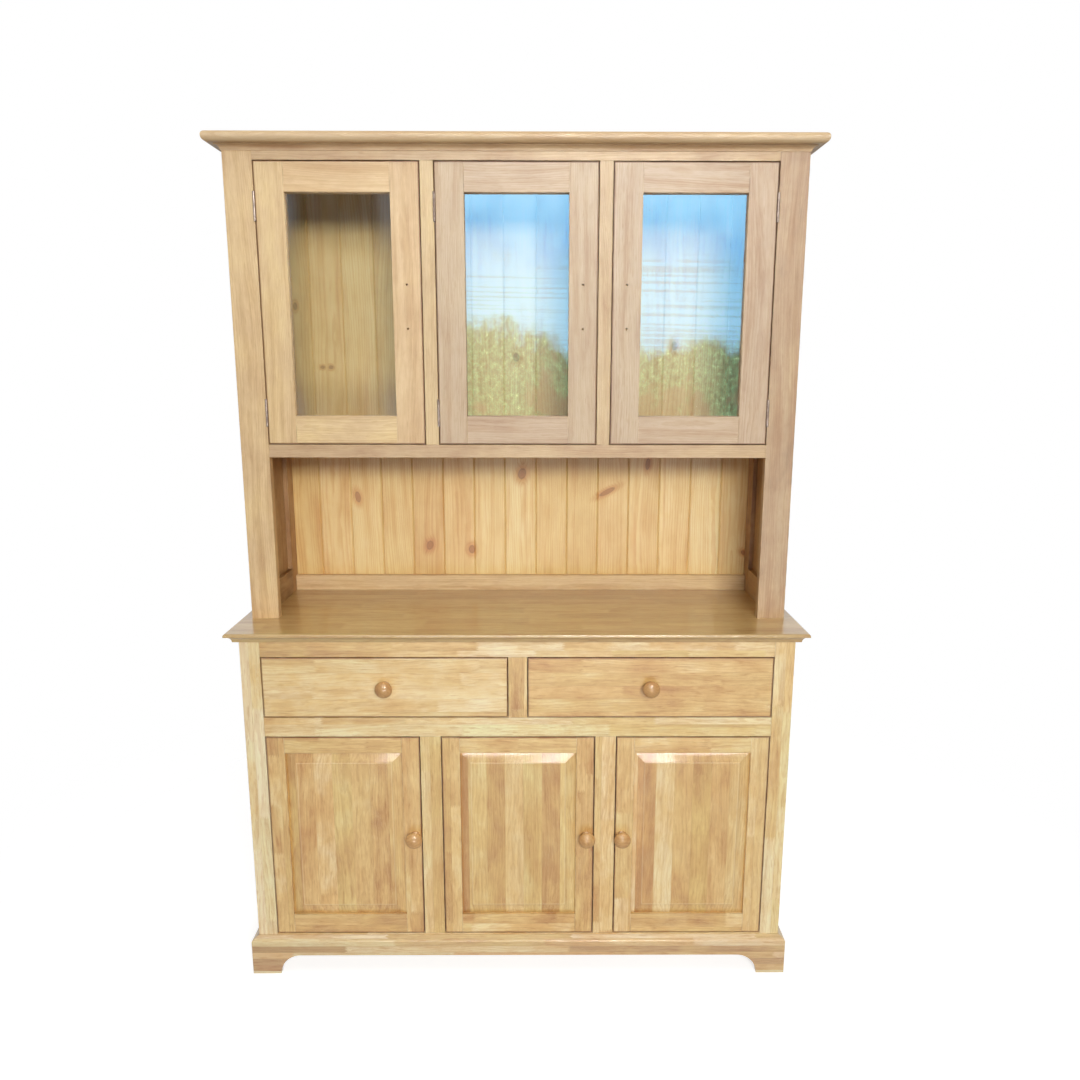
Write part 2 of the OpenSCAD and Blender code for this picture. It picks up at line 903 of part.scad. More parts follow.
module handle_holes() {
    x = glazed_w / 2 - glazed_stile_w / 2;
    z = glazed_low_z + glazed_h / 2;
    for (side = [-1, 1])
        translate([x, rack_setback - past, z + side * handle_pitch / 2])
            rotate([-90, 0, 0]) cylinder(d = handle_hole_d, h = glazed_t + 2 * past);
}

module glazed_frame(bay) {
    outer = glazed_w / 2;
    inner = pane_w / 2;
    front = rack_setback;
    back = rack_setback + glazed_t;
    top = glazed_low_z + glazed_h;
    color(oak) place() hang(bay, rack_bay_pitch) {
        difference() {
            board([-outer, front, glazed_low_z], [-inner, back, top]);
            glass_rebate();
        }
        difference() {
            board([inner, front, glazed_low_z], [outer, back, top]);
            glass_rebate();
            handle_holes();
        }
        difference() {
            board([-inner + fit, front, glazed_low_z], [inner - fit, back, pane_low_z]);
            glass_rebate();
        }
        difference() {
            board([-inner + fit, front, pane_low_z + pane_h], [inner - fit, back, top]);
            glass_rebate();
        }
    }
}

module glazed_pane(bay) {
    edge = glass_rebate_w - glass_room;
    front = rack_setback + glass_lip;
    color(pane_tint) place() hang(bay, rack_bay_pitch) board(
        [-pane_w / 2 - edge, front, pane_low_z - edge],
        [pane_w / 2 + edge, front + glass_t, pane_low_z + pane_h + edge]
    );
}

module glazed_beads(bay) {
    front = rack_setback + glass_lip + glass_t;
    back = rack_setback + glazed_t;
    half = pane_w / 2;
    low = pane_low_z;
    top = pane_low_z + pane_h;
    color(oak) place() hang(bay, rack_bay_pitch) {
        pair() board(
            [half, front, low - glass_rebate_w],
            [half + glass_rebate_w, back, top + glass_rebate_w]
        );
        board([-half + fit, front, low - glass_rebate_w], [half - fit, back, low]);
        board([-half + fit, front, top], [half - fit, back, top + glass_rebate_w]);
    }
}

// Panelled doors

// Half of a raised panel's section: from the middle of its face out to the tongue's edge
function panel_side(half_open) = [
    [half_open - bevel_w, field_set],
    [half_open - bevel_w, field_set + field_step],
    [half_open, tongue_set],
    [half_open + door_groove_d - fit, tongue_set],
    [half_open + door_groove_d - fit, tongue_set + door_tongue_t]
];

// The whole section across a panel, mirrored about its middle, with its face towards -Y
module panel_section(half_open) {
    right = panel_side(half_open);
    last = len(right) - 1;
    polygon(concat(right, [for (i = [last:-1:0]) [-right[i][0], right[i][1]]]));
}

// A raised and fielded panel: the sections across and up meet in mitres at its corners
module raised_panel() {
    mid_z = field_low_z + field_h / 2;
    in_groove = door_groove_d - fit;
    intersection() {
        run_z(field_low_z - in_groove, field_h + 2 * in_groove) panel_section(field_w / 2);
        translate([-field_w / 2 - in_groove, 0, mid_z])
            rotate([90, 0, 90]) linear_extrude(height = field_w + 2 * in_groove)
                rotate([0, 0, 90]) mirror([0, 1]) panel_section(field_h / 2);
    }
}

module door_panel(bay) {
    color(golden_wood) place() hang(bay, bay_pitch) raised_panel();
}

module door_groove() {
    board(
        [-field_w / 2 - door_groove_d, tongue_set, field_low_z - door_groove_d],
        [field_w / 2 + door_groove_d, tongue_set + door_tongue_t, field_low_z + field_h + door_groove_d]
    );
}

module door_pivot_bores() {
    for (z0 = [door_low_z - past, door_low_z + door_h - pivot_door_l - fit])
        translate([pivot_x, pivot_back, z0])
            cylinder(r = pivot_d / 2 + pin_gap, h = pivot_door_l + fit + past);
}

door_knob_x = door_w / 2 - knob_in;
door_knob_z = door_low_z + door_h / 2 + knob_rise;

// The bore that takes a knob's tenon, from the face y = 0
module knob_bore() {
    translate([0, -past, 0]) rotate([-90, 0, 0])
        cylinder(r = knob_tenon_d / 2 + pin_gap, h = knob_tenon_l + fit + past);
}

module door_frame(bay) {
    outer = door_w / 2;
    inner = field_w / 2;
    top = door_low_z + door_h;
    color(golden_wood) place() hang(bay, bay_pitch) {
        difference() {
            board([-outer, 0, door_low_z], [-inner, door_t, top]);
            door_groove();
            door_pivot_bores();
        }
        difference() {
            board([inner, 0, door_low_z], [outer, door_t, top]);
            door_groove();
            translate([door_knob_x, 0, door_knob_z]) knob_bore();
        }
        difference() {
            board([-inner + fit, 0, door_low_z], [inner - fit, door_t, field_low_z]);
            door_groove();
        }
        difference() {
            board([-inner + fit, 0, field_low_z + field_h], [inner - fit, door_t, top]);
            door_groove();
        }
    }
}

module pivot_pin(z0) {
    translate([pivot_x, pivot_back, z0])
        cylinder(d = pivot_d, h = pivot_door_l + door_gap + pivot_rail_l - fit);
}

module door_pivots(bay) {
    color(brass) place() hang(bay, bay_pitch) {
        union() {
            pivot_pin(sill_z - pivot_rail_l + fit);
            translate([pivot_x, pivot_back, sill_z + knuckle_gap])
                cylinder(d = collar_d, h = door_gap - knuckle_gap);
        }
        pivot_pin(door_top_z - door_gap - pivot_door_l);
    }
}

// Knobs

// Half section of a knob: foot, hollow neck, rim and domed head, with a tenon below y = 0.
// The dome touches the rim's circle, so its radius follows from the rim and the height
module knob_section() {
    rim_x = knob_d / 2 - knob_rim_r;
    over = knob_out - knob_rim_out;
    dome_r = (rim_x * rim_x + over * over - knob_rim_r * knob_rim_r) / (2 * (over - knob_rim_r));
    dome_y = knob_out - dome_r;
    meet_y = dome_y + dome_r * (knob_rim_out - dome_y) / (dome_r - knob_rim_r);
    under_y = knob_rim_out - knob_rim_r;
    neck_r = knob_neck_d / 2;
    hollow_r = (under_y - knob_foot_h) / 2;
    translate([0, -knob_tenon_l]) square([knob_tenon_d / 2, knob_tenon_l]);
    square([knob_foot_d / 2, knob_foot_h]);
    difference() {
        square([neck_r + hollow_r / 2, under_y + knob_rim_r]);
        translate([neck_r + hollow_r, knob_foot_h + hollow_r]) circle(hollow_r);
    }
    translate([0, under_y]) square([rim_x, meet_y - under_y]);
    translate([rim_x, knob_rim_out]) circle(knob_rim_r);
    intersection() {
        translate([0, dome_y]) circle(dome_r);
        translate([0, meet_y]) square([knob_d / 2, knob_out - meet_y]);
    }
}

module knob() {
    rotate([90, 0, 0]) rotate_extrude() knob_section();
}

module door_knob(bay) {
    color(knob_wood) place() hang(bay, bay_pitch)
        translate([door_knob_x, 0, door_knob_z]) knob();
}

// Drawers

drawer_knob_z = drawer_z + drawer_open_h / 2 + knob_rise;

module at_drawer(side) {
    translate([side * drawer_pitch / 2, 0, 0]) children();
}

// The dovetails at the front end of a drawer side, drawn for the right-hand side
module dovetails() {
    step = drawer_side_h / tail_n;
    root = tail_root_h / 2;
    tip = root + tail_flare;
    run_x(box_in, drawer_side_t)
        for (i = [0:tail_n - 1])
            translate([drawer_front_t, box_z + (i + 0.5) * step])
                polygon([[0, -root], [0, root], [-tail_l, tip], [-tail_l, -tip]]);
}

module drawer_bottom_space(room) {
    edge = box_in + drawer_groove_d - fit + room;
    board(
        [-edge, drawer_front_t - drawer_groove_d - room, box_z + bottom_rise - room],
        [edge, drawer_d + room, box_z + bottom_rise + bottom_t + room]
    );
}

module drawer_back_space(room) {
    edge = box_in + drawer_groove_d - fit + room;
    y1 = drawer_d - drawer_tail_l;
    board(
        [-edge, y1 - drawer_side_t - room, box_z + bottom_rise + bottom_t + fit],
        [edge, y1 + room, box_top_z + room]
    );
}

module drawer_side() {
    difference() {
        union() {
            board([box_in, drawer_front_t, box_z], [front_w / 2, drawer_d, box_top_z]);
            dovetails();
        }
        drawer_bottom_space(fit);
        drawer_back_space(fit);
    }
}

module drawer_front(side) {
    color(golden_wood) place() at_drawer(side) difference() {
        board(
            [-front_w / 2, 0, drawer_z + door_gap],
            [front_w / 2, drawer_front_t, drawer_z + door_gap + front_h]
        );
        pair() dovetails();
        drawer_bottom_space(fit);
        translate([0, 0, drawer_knob_z]) knob_bore();
    }
}

module drawer_box(side) {
    color(inner_wood) place() at_drawer(side) {
        pair() drawer_side();
        drawer_back_space(0);
        drawer_bottom_space(0);
    }
}

module drawer_knob(side) {
    color(knob_wood) place() at_drawer(side) translate([0, 0, drawer_knob_z]) knob();
}

// Fittings

// A magnetic catch on the back of a rail, its lower half behind the door
module catch(x, z_edge, rail_back, door_back) {
    end = rail_back + catch_d;
    half = catch_w / 2;
    behind = max(rail_back, door_back) + run_gap;
    union() {
        board([x - half, rail_back, z_edge], [x + half, end, z_edge + catch_h]);
        board([x - half, behind, z_edge - catch_h], [x + half, end, z_edge]);
        board(
            [x - half / 2, door_back + run_gap, z_edge - catch_h],
            [x + half / 2, end, z_edge - door_gap]
        );
    }
}

module door_catches() {
    color(inner_wood) place()
        for (bay = [0:2]) {
            hang(bay, bay_pitch)
                catch(door_w / 2 - catch_in, door_top_z, rail_t, door_t);
            hang(bay, rack_bay_pitch)
                catch(glazed_w / 2 - catch_in, glazed_top_z, rack_side_y, rack_setback + glazed_t);
        }
}

module joining_plate() {
    low = base_h - plate_reach;
    high = rack_z + plate_reach;
    near = plate_reach - plate_hole_in;
    difference() {
        board([-plate_w / 2, base_d, low], [plate_w / 2, back_y, high]);
        for (z = [low + plate_hole_in, low + near, high - near, high - plate_hole_in])
            translate([0, base_d - past, z])
                rotate([-90, 0, 0]) cylinder(d = plate_hole_d, h = plate_t + 2 * past);
    }
}

module joining_plates() {
    color(bright_steel) place()
        for (side = [-1, 1])
            translate([side * plate_x, 0, 0]) joining_plate();
}

base_posts();
base_front_rails();
base_uprights();
base_side_rails();
base_side_panels();
base_rear_rails();
base_floor();
base_partitions();
base_shelves();
shelf_pins();
base_back_boards();
drawer_runners();
drawer_kickers();
countertop();
plinth_front();
plinth_sides();
rack_front_posts();
rack_front_rails();
rack_uprights();
rack_side_frames();
rack_side_panels();
rack_floor();
rack_back_boards();
rack_back_rails();
cornice_board();
cornice_cove();
hinge_post_leaves();
door_catches();
joining_plates();
glazed_frame(0);  // glazed_left_frame
glazed_pane(0);  // glazed_left_glass
glazed_beads(0);  // glazed_left_beads
glazed_hinges(0);  // glazed_left_hinges
glazed_frame(1);  // glazed_centre_frame
glazed_pane(1);  // glazed_centre_glass
glazed_beads(1);  // glazed_centre_beads
glazed_hinges(1);  // glazed_centre_hinges
glazed_frame(2);  // glazed_right_frame
glazed_pane(2);  // glazed_right_glass
glazed_beads(2);  // glazed_right_beads
glazed_hinges(2);  // glazed_right_hinges
door_frame(0);  // door_left_frame
door_panel(0);  // door_left_panel
door_pivots(0);  // door_left_pivots
door_knob(0);  // door_left_knob
door_frame(1);  // door_centre_frame
door_panel(1);  // door_centre_panel
door_pivots(1);  // door_centre_pivots
door_knob(1);  // door_centre_knob
door_frame(2);  // door_right_frame
door_panel(2);  // door_right_panel
door_pivots(2);  // door_right_pivots
door_knob(2);  // door_right_knob
drawer_front(-1);  // drawer_left_front
drawer_box(-1);  // drawer_left_box
drawer_knob(-1);  // drawer_left_knob
drawer_front(1);  // drawer_right_front
drawer_box(1);  // drawer_right_box
drawer_knob(1);  // drawer_right_knob
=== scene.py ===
"""Looks of a two-piece kitchen dresser: finger-jointed base, glazed oak rack, pine back boards."""

import json
import logging
import math
import random
from dataclasses import dataclass, field
from enum import Enum
from typing import Callable, Iterable, Sequence, Union

import bmesh
import bpy
import numpy as np
from mathutils import Matrix, Vector

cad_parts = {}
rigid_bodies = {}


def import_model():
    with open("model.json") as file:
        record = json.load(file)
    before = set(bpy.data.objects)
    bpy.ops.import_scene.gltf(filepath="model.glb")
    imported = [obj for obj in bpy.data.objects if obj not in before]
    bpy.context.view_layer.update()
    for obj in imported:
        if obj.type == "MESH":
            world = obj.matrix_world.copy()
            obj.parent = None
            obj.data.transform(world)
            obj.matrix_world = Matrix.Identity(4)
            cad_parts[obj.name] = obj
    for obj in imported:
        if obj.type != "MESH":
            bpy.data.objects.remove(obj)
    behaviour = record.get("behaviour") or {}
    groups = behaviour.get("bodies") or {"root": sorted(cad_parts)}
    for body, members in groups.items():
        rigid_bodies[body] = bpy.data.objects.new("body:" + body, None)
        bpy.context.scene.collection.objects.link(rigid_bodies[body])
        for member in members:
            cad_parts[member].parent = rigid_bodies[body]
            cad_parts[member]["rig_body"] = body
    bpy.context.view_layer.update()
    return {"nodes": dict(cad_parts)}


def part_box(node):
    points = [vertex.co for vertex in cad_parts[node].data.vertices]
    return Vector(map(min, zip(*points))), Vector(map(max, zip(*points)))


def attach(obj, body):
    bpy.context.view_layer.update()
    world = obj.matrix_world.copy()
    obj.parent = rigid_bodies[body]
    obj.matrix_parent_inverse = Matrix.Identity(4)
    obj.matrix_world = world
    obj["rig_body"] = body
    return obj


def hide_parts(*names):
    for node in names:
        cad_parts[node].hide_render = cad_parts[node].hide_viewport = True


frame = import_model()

log = logging.getLogger("kitchen_dresser")

MM = 0.001
WELD = 0.001 * MM
FLAT_ANGLE = math.radians(1)
ARRIS_ANGLE = math.radians(30)
JOINT_ROOM = 0.15 * MM
# Painted sheen: greyish pink added further right, as a multiple of a part's fade
RIGHTWARD_SHEEN = 1.5
NO_RIM = 1.0
LARGE_FACES = 100
BLACK = (0.0, 0.0, 0.0)
WHITE = (1.0, 1.0, 1.0)
FLOOR_SIDES = 96

Colour = tuple[float, float, float]


def screen(red: int, green: int, blue: int) -> Colour:
    """Turns screen values into a linear colour.

    Args:
        red: The red value, from 0 to 255.
        green: The green value.
        blue: The blue value.

    Returns:
        The three linear values, from 0 to 1.
    """
    def linear(level: float) -> float:
        """Linear value of one screen channel from 0 to 1."""
        return level / 12.92 if level <= 0.04045 else ((level + 0.055) / 1.055) ** 2.4
    return linear(red / 255), linear(green / 255), linear(blue / 255)


def palette(*tones: tuple[int, int, int]) -> tuple[Colour, ...]:
    """Linear colours of several screen colours."""
    return tuple(screen(*tone) for tone in tones)


class Slot(Enum):
    """The material slots of the part's record."""

    RACK_OAK = "rack_oak"
    BASE_WOOD = "base_wood"
    COUNTER_WOOD = "counter_wood"
    BACK_PINE = "back_pine"
    INNER_WOOD = "inner_wood"
    KNOB_WOOD = "knob_wood"
    GLASS = "glass"
    HINGE_STEEL = "hinge_steel"
    PIVOT_BRASS = "pivot_brass"


class Side(Enum):
    """Where a door or drawer hangs in its row."""

    LEFT = "left"
    CENTRE = "centre"
    RIGHT = "right"


class Graph:
    """A node tree that is written from Python."""

    def __init__(self, tree: bpy.types.NodeTree) -> None:
        """Takes an empty tree."""
        self.tree = tree
        tree.nodes.clear()

    def node(self, kind: str, settings: dict | None = None, inputs: dict | None = None,
             output: int | str = 0) -> "Value":
        """Adds one node.

        Args:
            kind: The node's type.
            settings: The node's own properties, set first; "stops" fills a colour ramp.
            inputs: Values or links of its sockets, by index, identifier or name.
            output: The socket that is handed back.

        Returns:
            The chosen output.
        """
        made = self.tree.nodes.new(kind)
        for name, value in (settings or {}).items():
            if name == "stops":
                self._set_stops(made.color_ramp, value)
            else:
                setattr(made, name, value)
        for key, value in (inputs or {}).items():
            self._feed(self.find(made.inputs, key), value)
        found = self.find(made.outputs, output) if len(made.outputs) else None
        return Value(self, made, found)

    @staticmethod
    def find(sockets: Iterable[bpy.types.NodeSocket], key: int | str) -> bpy.types.NodeSocket:
        """Looks a socket up.

        Args:
            sockets: A node's inputs or outputs.
            key: The socket's index, identifier or name.

        Returns:
            The socket.
        """
        if isinstance(key, int):
            return sockets[key]
        return next((s for s in sockets if s.identifier == key), None) or sockets[key]

    def _feed(self, socket: bpy.types.NodeSocket, value: "Operand") -> None:
        """Links a value to a socket, or writes it there.

        Args:
            socket: An input of a node.
            value: Another node's output, a number, a vector or a colour.
        """
        if isinstance(value, Value):
            self.tree.links.new(value.socket, socket)
        elif socket.type == "RGBA" and len(value) == 3:
            socket.default_value = (*value, 1.0)
        else:
            socket.default_value = value

    @staticmethod
    def _set_stops(ramp: bpy.types.ColorRamp, stops: Sequence[tuple[float, Colour]]) -> None:
        """Fills a colour ramp.

        Args:
            ramp: The ramp, with two stops or fewer than it gets.
            stops: Places from 0 to 1 and their colours.
        """
        while len(ramp.elements) < len(stops):
            ramp.elements.new(1.0)
        for element, (place, colour) in zip(ramp.elements, stops):
            element.position = place
            element.color = (*colour, 1.0)

    def vector(self, x: "Operand", y: "Operand", z: "Operand") -> "Value":
        """A vector of three numbers."""
        return self.node("ShaderNodeCombineXYZ", inputs={0: x, 1: y, 2: z})

    def attribute(self, name: str) -> "Value":
        """The vector that the mesh carries under a name."""
        return self.node("ShaderNodeAttribute", {"attribute_name": name}, output="Vector")

    def noise(self, place: "Value", scale: float, detail: float = 2.0, roughness: float = 0.5) -> "Value":
        """Smooth noise.

        Args:
            place: Where it is read.
            scale: How fine it is.
            detail: How many finer layers it has.
            roughness: How strong the finer layers are.

        Returns:
            A number from 0 to 1.
        """
        return self.node(
            "ShaderNodeTexNoise",
            inputs={"Vector": place, "Scale": scale, "Detail": detail, "Roughness": roughness},
        )

    def chances(self, x: "Operand", y: "Operand", z: "Operand") -> "Value":
        """Three random numbers that belong to a place."""
        place = self.vector(x, y, z)
        return self.node("ShaderNodeTexWhiteNoise", inputs={"Vector": place}, output="Color")

    def bump(self, strength: float, distance: float, height: "Operand") -> "Value":
        """Tilts the surface's direction by a relief.

        Args:
            strength: How much of the relief shows, from 0 to 1.
            distance: Height of the relief at 1, in metres.
            height: The relief.

        Returns:
            The direction, for a shader's normal.
        """
        return self.node(
            "ShaderNodeBump", inputs={"Strength": strength, "Distance": distance, "Height": height}
        )

    def mix(self, factor: "Operand", first: "Operand", second: "Operand", mode: str = "MIX") -> "Value":
        """Two colours mixed by a factor.

        Args:
            factor: How much of the second colour is taken.
            first: The colour at 0.
            second: The colour at 1, or what the first is blended with.
            mode: The kind of blend.

        Returns:
            The mixed colour.
        """
        return self.node(
            "ShaderNodeMix",
            {"data_type": "RGBA", "blend_type": mode},
            {"Factor_Float": factor, "A_Color": first, "B_Color": second},
            "Result_Color",
        )

    def tint(self, factor: "Operand", colour: "Value", tint: Colour) -> "Value":
        """A colour multiplied by a tint, as far as the factor says."""
        return self.mix(factor, colour, tint, "MULTIPLY")

    def ramp(self, factor: "Operand", stops: Sequence[tuple[float, Colour]]) -> "Value":
        """A colour picked from stops by a number from 0 to 1."""
        return self.node("ShaderNodeValToRGB", {"stops": stops}, {0: factor})


def math_method(operation: str, swapped: bool = False) -> Callable[..., "Value"]:
    """A method that puts a Math node on a value and its operands.

    Args:
        operation: What the node works out.
        swapped: Whether the other operand comes first.

    Returns:
        The method.
    """
    def method(self: "Value", *others: "Operand") -> "Value":
        """The node's result."""
        operands = (*others, self) if swapped else (self, *others)
        return self.graph.node("ShaderNodeMath", {"operation": operation}, dict(enumerate(operands)))
    return method


class Value:
    """An output of a node, on which sums are written as Python operators."""

    __add__ = __radd__ = math_method("ADD")
    __sub__ = math_method("SUBTRACT")
    __rsub__ = math_method("SUBTRACT", swapped=True)
    __mul__ = __rmul__ = math_method("MULTIPLY")
    __truediv__ = math_method("DIVIDE")
    __pow__ = math_method("POWER")
    __abs__ = math_method("ABSOLUTE")
    at_least = math_method("MAXIMUM")
    at_most = math_method("MINIMUM")
    floor = math_method("FLOOR")
    fraction = math_method("FRACT")
    root = math_method("SQRT")
    pingpong = math_method("PINGPONG")

    def __init__(self, graph: Graph, node: bpy.types.Node, socket: bpy.types.NodeSocket | None) -> None:
        """Wraps one socket of a node."""
        self.graph, self.owner, self.socket = graph, node, socket

    def out(self, key: int | str) -> "Value":
        """Another output of the same node."""
        return Value(self.graph, self.owner, Graph.find(self.owner.outputs, key))

    def split(self) -> tuple["Value", "Value", "Value"]:
        """The three numbers of a vector."""
        parts = self.graph.node("ShaderNodeSeparateXYZ", inputs={0: self})
        return parts, parts.out(1), parts.out(2)

    def scaled(self, x: float, y: float, z: float) -> "Value":
        """The vector with each number multiplied."""
        return self.graph.node("ShaderNodeVectorMath", {"operation": "MULTIPLY"}, {0: self, 1: (x, y, z)})

    def shifted(self, other: "Operand") -> "Value":
        """The vector with another added."""
        return self.graph.node("ShaderNodeVectorMath", {"operation": "ADD"}, {0: self, 1: other})

    def step(self, low: float, high: float) -> "Value":
        """Eases from 0 to 1.

        Args:
            low: Where it is 0.
            high: Where it is 1, which may lie below low.

        Returns:
            The eased number.
        """
        flip = high < low
        return self.graph.node(
            "ShaderNodeMapRange",
            {"interpolation_type": "SMOOTHSTEP"},
            {
                "Value": self,
                "From Min": min(low, high),
                "From Max": max(low, high),
                "To Min": 1.0 if flip else 0.0,
                "To Max": 0.0 if flip else 1.0,
            },
        )

    def band(self, rise: float, full: float, fade: float, end: float) -> "Value":
        """1 between full and fade, easing to 0 at rise and at end."""
        return self.step(rise, full) * self.step(end, fade)


Operand = Union[Value, float, Sequence[float]]


def new_material(name: str) -> tuple[bpy.types.Material, Graph]:
    """Makes an empty node material.

    Args:
        name: Its name.

    Returns:
        The material and the graph that writes its nodes.
    """
    material = bpy.data.materials.new(name)
    material.use_nodes = True
    return material, Graph(material.node_tree)


def close_material(graph: Graph, shader: Value) -> None:
    """Sends a shader to the tree's output."""
    graph.node("ShaderNodeOutputMaterial", inputs={"Surface": shader})


def link_object(name: str, data: bpy.types.ID) -> bpy.types.Object:
    """Makes an object and puts it in the scene's own collection.

    Args:
        name: Its name.
        data: Its mesh, lamp or camera.

    Returns:
        The object.
    """
    made = bpy.data.objects.new(name, data)
    bpy.context.scene.collection.objects.link(made)
    return made


@dataclass(frozen=True)
class Speckle:
    """Noise drawn out along the grain, and the mask that is cut from it.

    Attributes:
        scale: Cells to a metre along, across and through the grain.
        detail: Octaves of the noise.
        roughness: How strong each octave is beside the last.
        start: Noise level where the mask starts.
        full: Noise level where it is full.
    """

    scale: tuple[float, float, float]
    detail: float
    roughness: float = 0.5
    start: float = 0.0
    full: float = 1.0

    def noise(self, graph: Graph, grain: Value) -> Value:
        """The noise at a place in the board's own coordinates."""
        return graph.noise(grain.scaled(*self.scale), 1.0, self.detail, self.roughness)

    def mask(self, noise: Value) -> Value:
        """Where the noise shows."""
        return noise.step(self.start, self.full)


STREAK = Speckle((3.0, 45.0, 45.0), 4.0, 0.6, 0.42, 0.75)
FIBRE = Speckle((14.0, 420.0, 420.0), 3.0, 0.65, 0.35, 0.75)
PORE = Speckle((40.0, 800.0, 800.0), 1.0, 0.5, 0.56, 0.72)
DASH = Speckle((26.0, 230.0, 230.0), 2.0, 0.5, 0.54, 0.7)
BLOTCH = Speckle((9.0, 16.0, 16.0), 4.0, 0.6)

# Where a board lay in its log, and how its rings wander
PITH_ASIDE = 110 * MM
PITH_SWAY = 70 * MM
PITH_BELOW = 12 * MM
PITH_DEEPER = 60 * MM
GRAIN_RUN = 40.0
SWAY_SCALE = (1.3, 4.0, 9.0)
WANDER_SCALE = (6.0, 30.0, 30.0)
LATE_RISE = 3.0
LATE_END = 14.0
LATE_PEAK = 1.25

# How staves and their blocks differ
BOARDS_APART = 97.0
STAVES_APART = 31.0
BLOCKS_APART = 53.0
LANE_SHIFT = 9.0
BLOCK_SHIFT = 7.0
SHORTEST_BLOCK = 0.6
BLOCK_RANGE = 0.8
GLUE_LINE = (0.5 * MM, 0.1 * MM)

# Distances from an edge, an outline or a raised field's step, over which grime, wear, painted shade and a
# painted highlight come and go
GRIME_SHADE_EDGE = (2.2 * MM, 0.0)
WORN_EDGE = (1.1 * MM, 0.2 * MM)
GRIME_SHADE_RUB = (0.3, 0.7)
WORN_RUB = (0.62, 0.42)
GAP_SHADE_REACH = (3.6 * MM, 0.3 * MM)
ON_FRONT = (0.02 * MM, 0.25 * MM)
STEP_SHADE_BAND = (-6.0 * MM, -0.5 * MM, 0.0, 0.4 * MM)
FOOT_SHADE_BAND = (-60.0 * MM, -34.0 * MM, -25.0 * MM, -16.0 * MM)
CREST_HIGHLIGHT_BAND = (0.0, 0.4 * MM, 0.8 * MM, 3.0 * MM)

# Knots, in distances where 1 is the knot's rim
KNOT_BULGE = 9 * MM
KNOT_REACH = 3.2
KNOT_RAGGED = 0.7
HALO_FADE = (3.4, 0.9)
HEART_FADE = (1.2, 0.6)
BARK_BAND = (0.7, 1.0, 1.0, 1.35)

RELIEF = 0.35 * MM
LACQUER_IOR = 1.45

PINKISH = screen(250, 226, 204)
OLIVE = screen(240, 248, 210)
# Greyish pink that boards are mixed towards, partly painted sheen on the right-hand rack
BLEACH_AND_SHEEN_TINT = screen(198, 178, 153)
GLUE = screen(96, 60, 30)
KNOT_HALO = screen(214, 150, 92)
KNOT_HEART = screen(150, 96, 52)
KNOT_BARK = screen(112, 68, 36)
# Tint of edge grime, which also stands for painted shade in grooves and gaps
GRIME_SHADE_TINT = screen(140, 98, 60)
# Tint of the painted shade round outlines, beside field steps and at bevel feet
PAINTED_SHADE_TINT = screen(150, 100, 52)


@dataclass(frozen=True)
class Timber:
    """The growth of a kind of wood.

    Attributes:
        ring: Mean width of a growth ring, in metres.
        late: How strongly late wood takes its tint, from 0 to 1.
        late_tint: What late wood's colour is multiplied by.
        wave: How many rings' widths the rings wander.
        streak: How strongly broad streaks along the grain darken the board.
        fibre: How strongly fine fibres darken the board.
        pore: How strongly open pores darken the board.
        dash: How strongly short dashes along the grain darken the board.
    """

    ring: float
    late: float
    late_tint: Colour
    wave: float
    streak: float
    fibre: float
    pore: float
    dash: float


@dataclass(frozen=True)
class Lamination:
    """Boards glued up from staves, each stave finger-jointed from blocks.

    Attributes:
        finger: Length of a joint's fingers, in metres.
        pitch: Width of a finger and the gap beside it, in metres.
        glue: How dark a glue line is, from 0 to 1.
        likeness: How far the blocks of one stave are alike, from 0 to 1.
    """

    finger: float = 9 * MM
    pitch: float = 4 * MM
    glue: float = 0.12
    likeness: float = 0.45


@dataclass(frozen=True)
class Knot:
    """A knot that goes through a back board.

    Attributes:
        x: Its place across the dresser, in metres.
        z: Its height, in metres.
        across: Half its width, in metres.
        along: Half its height, in metres.
        lean: How far it leans to the right, in degrees.
    """

    x: float
    z: float
    across: float
    along: float
    lean: float


@dataclass(frozen=True)
class WoodFinish:
    """Clear-finished wood.

    Attributes:
        name: The material's name.
        timber: How the wood grew.
        tones: Colours from the palest to the darkest board.
        spread: How far boards or blocks differ in tone, from 0 to 1.
        roughness: Roughness of the finish.
        coat: Weight of the lacquer.
        lamination: How boards are glued up, where they are.
        knots: Knots by their places.
        grime_and_shade: How dark the wood is along its edges, from 0 to 1: grime, and painted shade in the
            grooves and gaps there.
        gloss: Roughness of the lacquer.
        hue: How far boards or blocks differ in hue, from 0 to 1.
        mottle: How cloudy each board is, from 0 to 1.
    """

    name: str
    timber: Timber
    tones: tuple[Colour, ...]
    spread: float
    roughness: float
    coat: float
    lamination: Lamination | None = None
    knots: tuple[Knot, ...] = ()
    grime_and_shade: float = 0.35
    gloss: float = 0.28
    hue: float = 0.6
    mottle: float = 0.5

    def build(self) -> bpy.types.Material:
        """The finished material."""
        material, graph = new_material(self.name)
        WoodShader(self, graph).write()
        return material


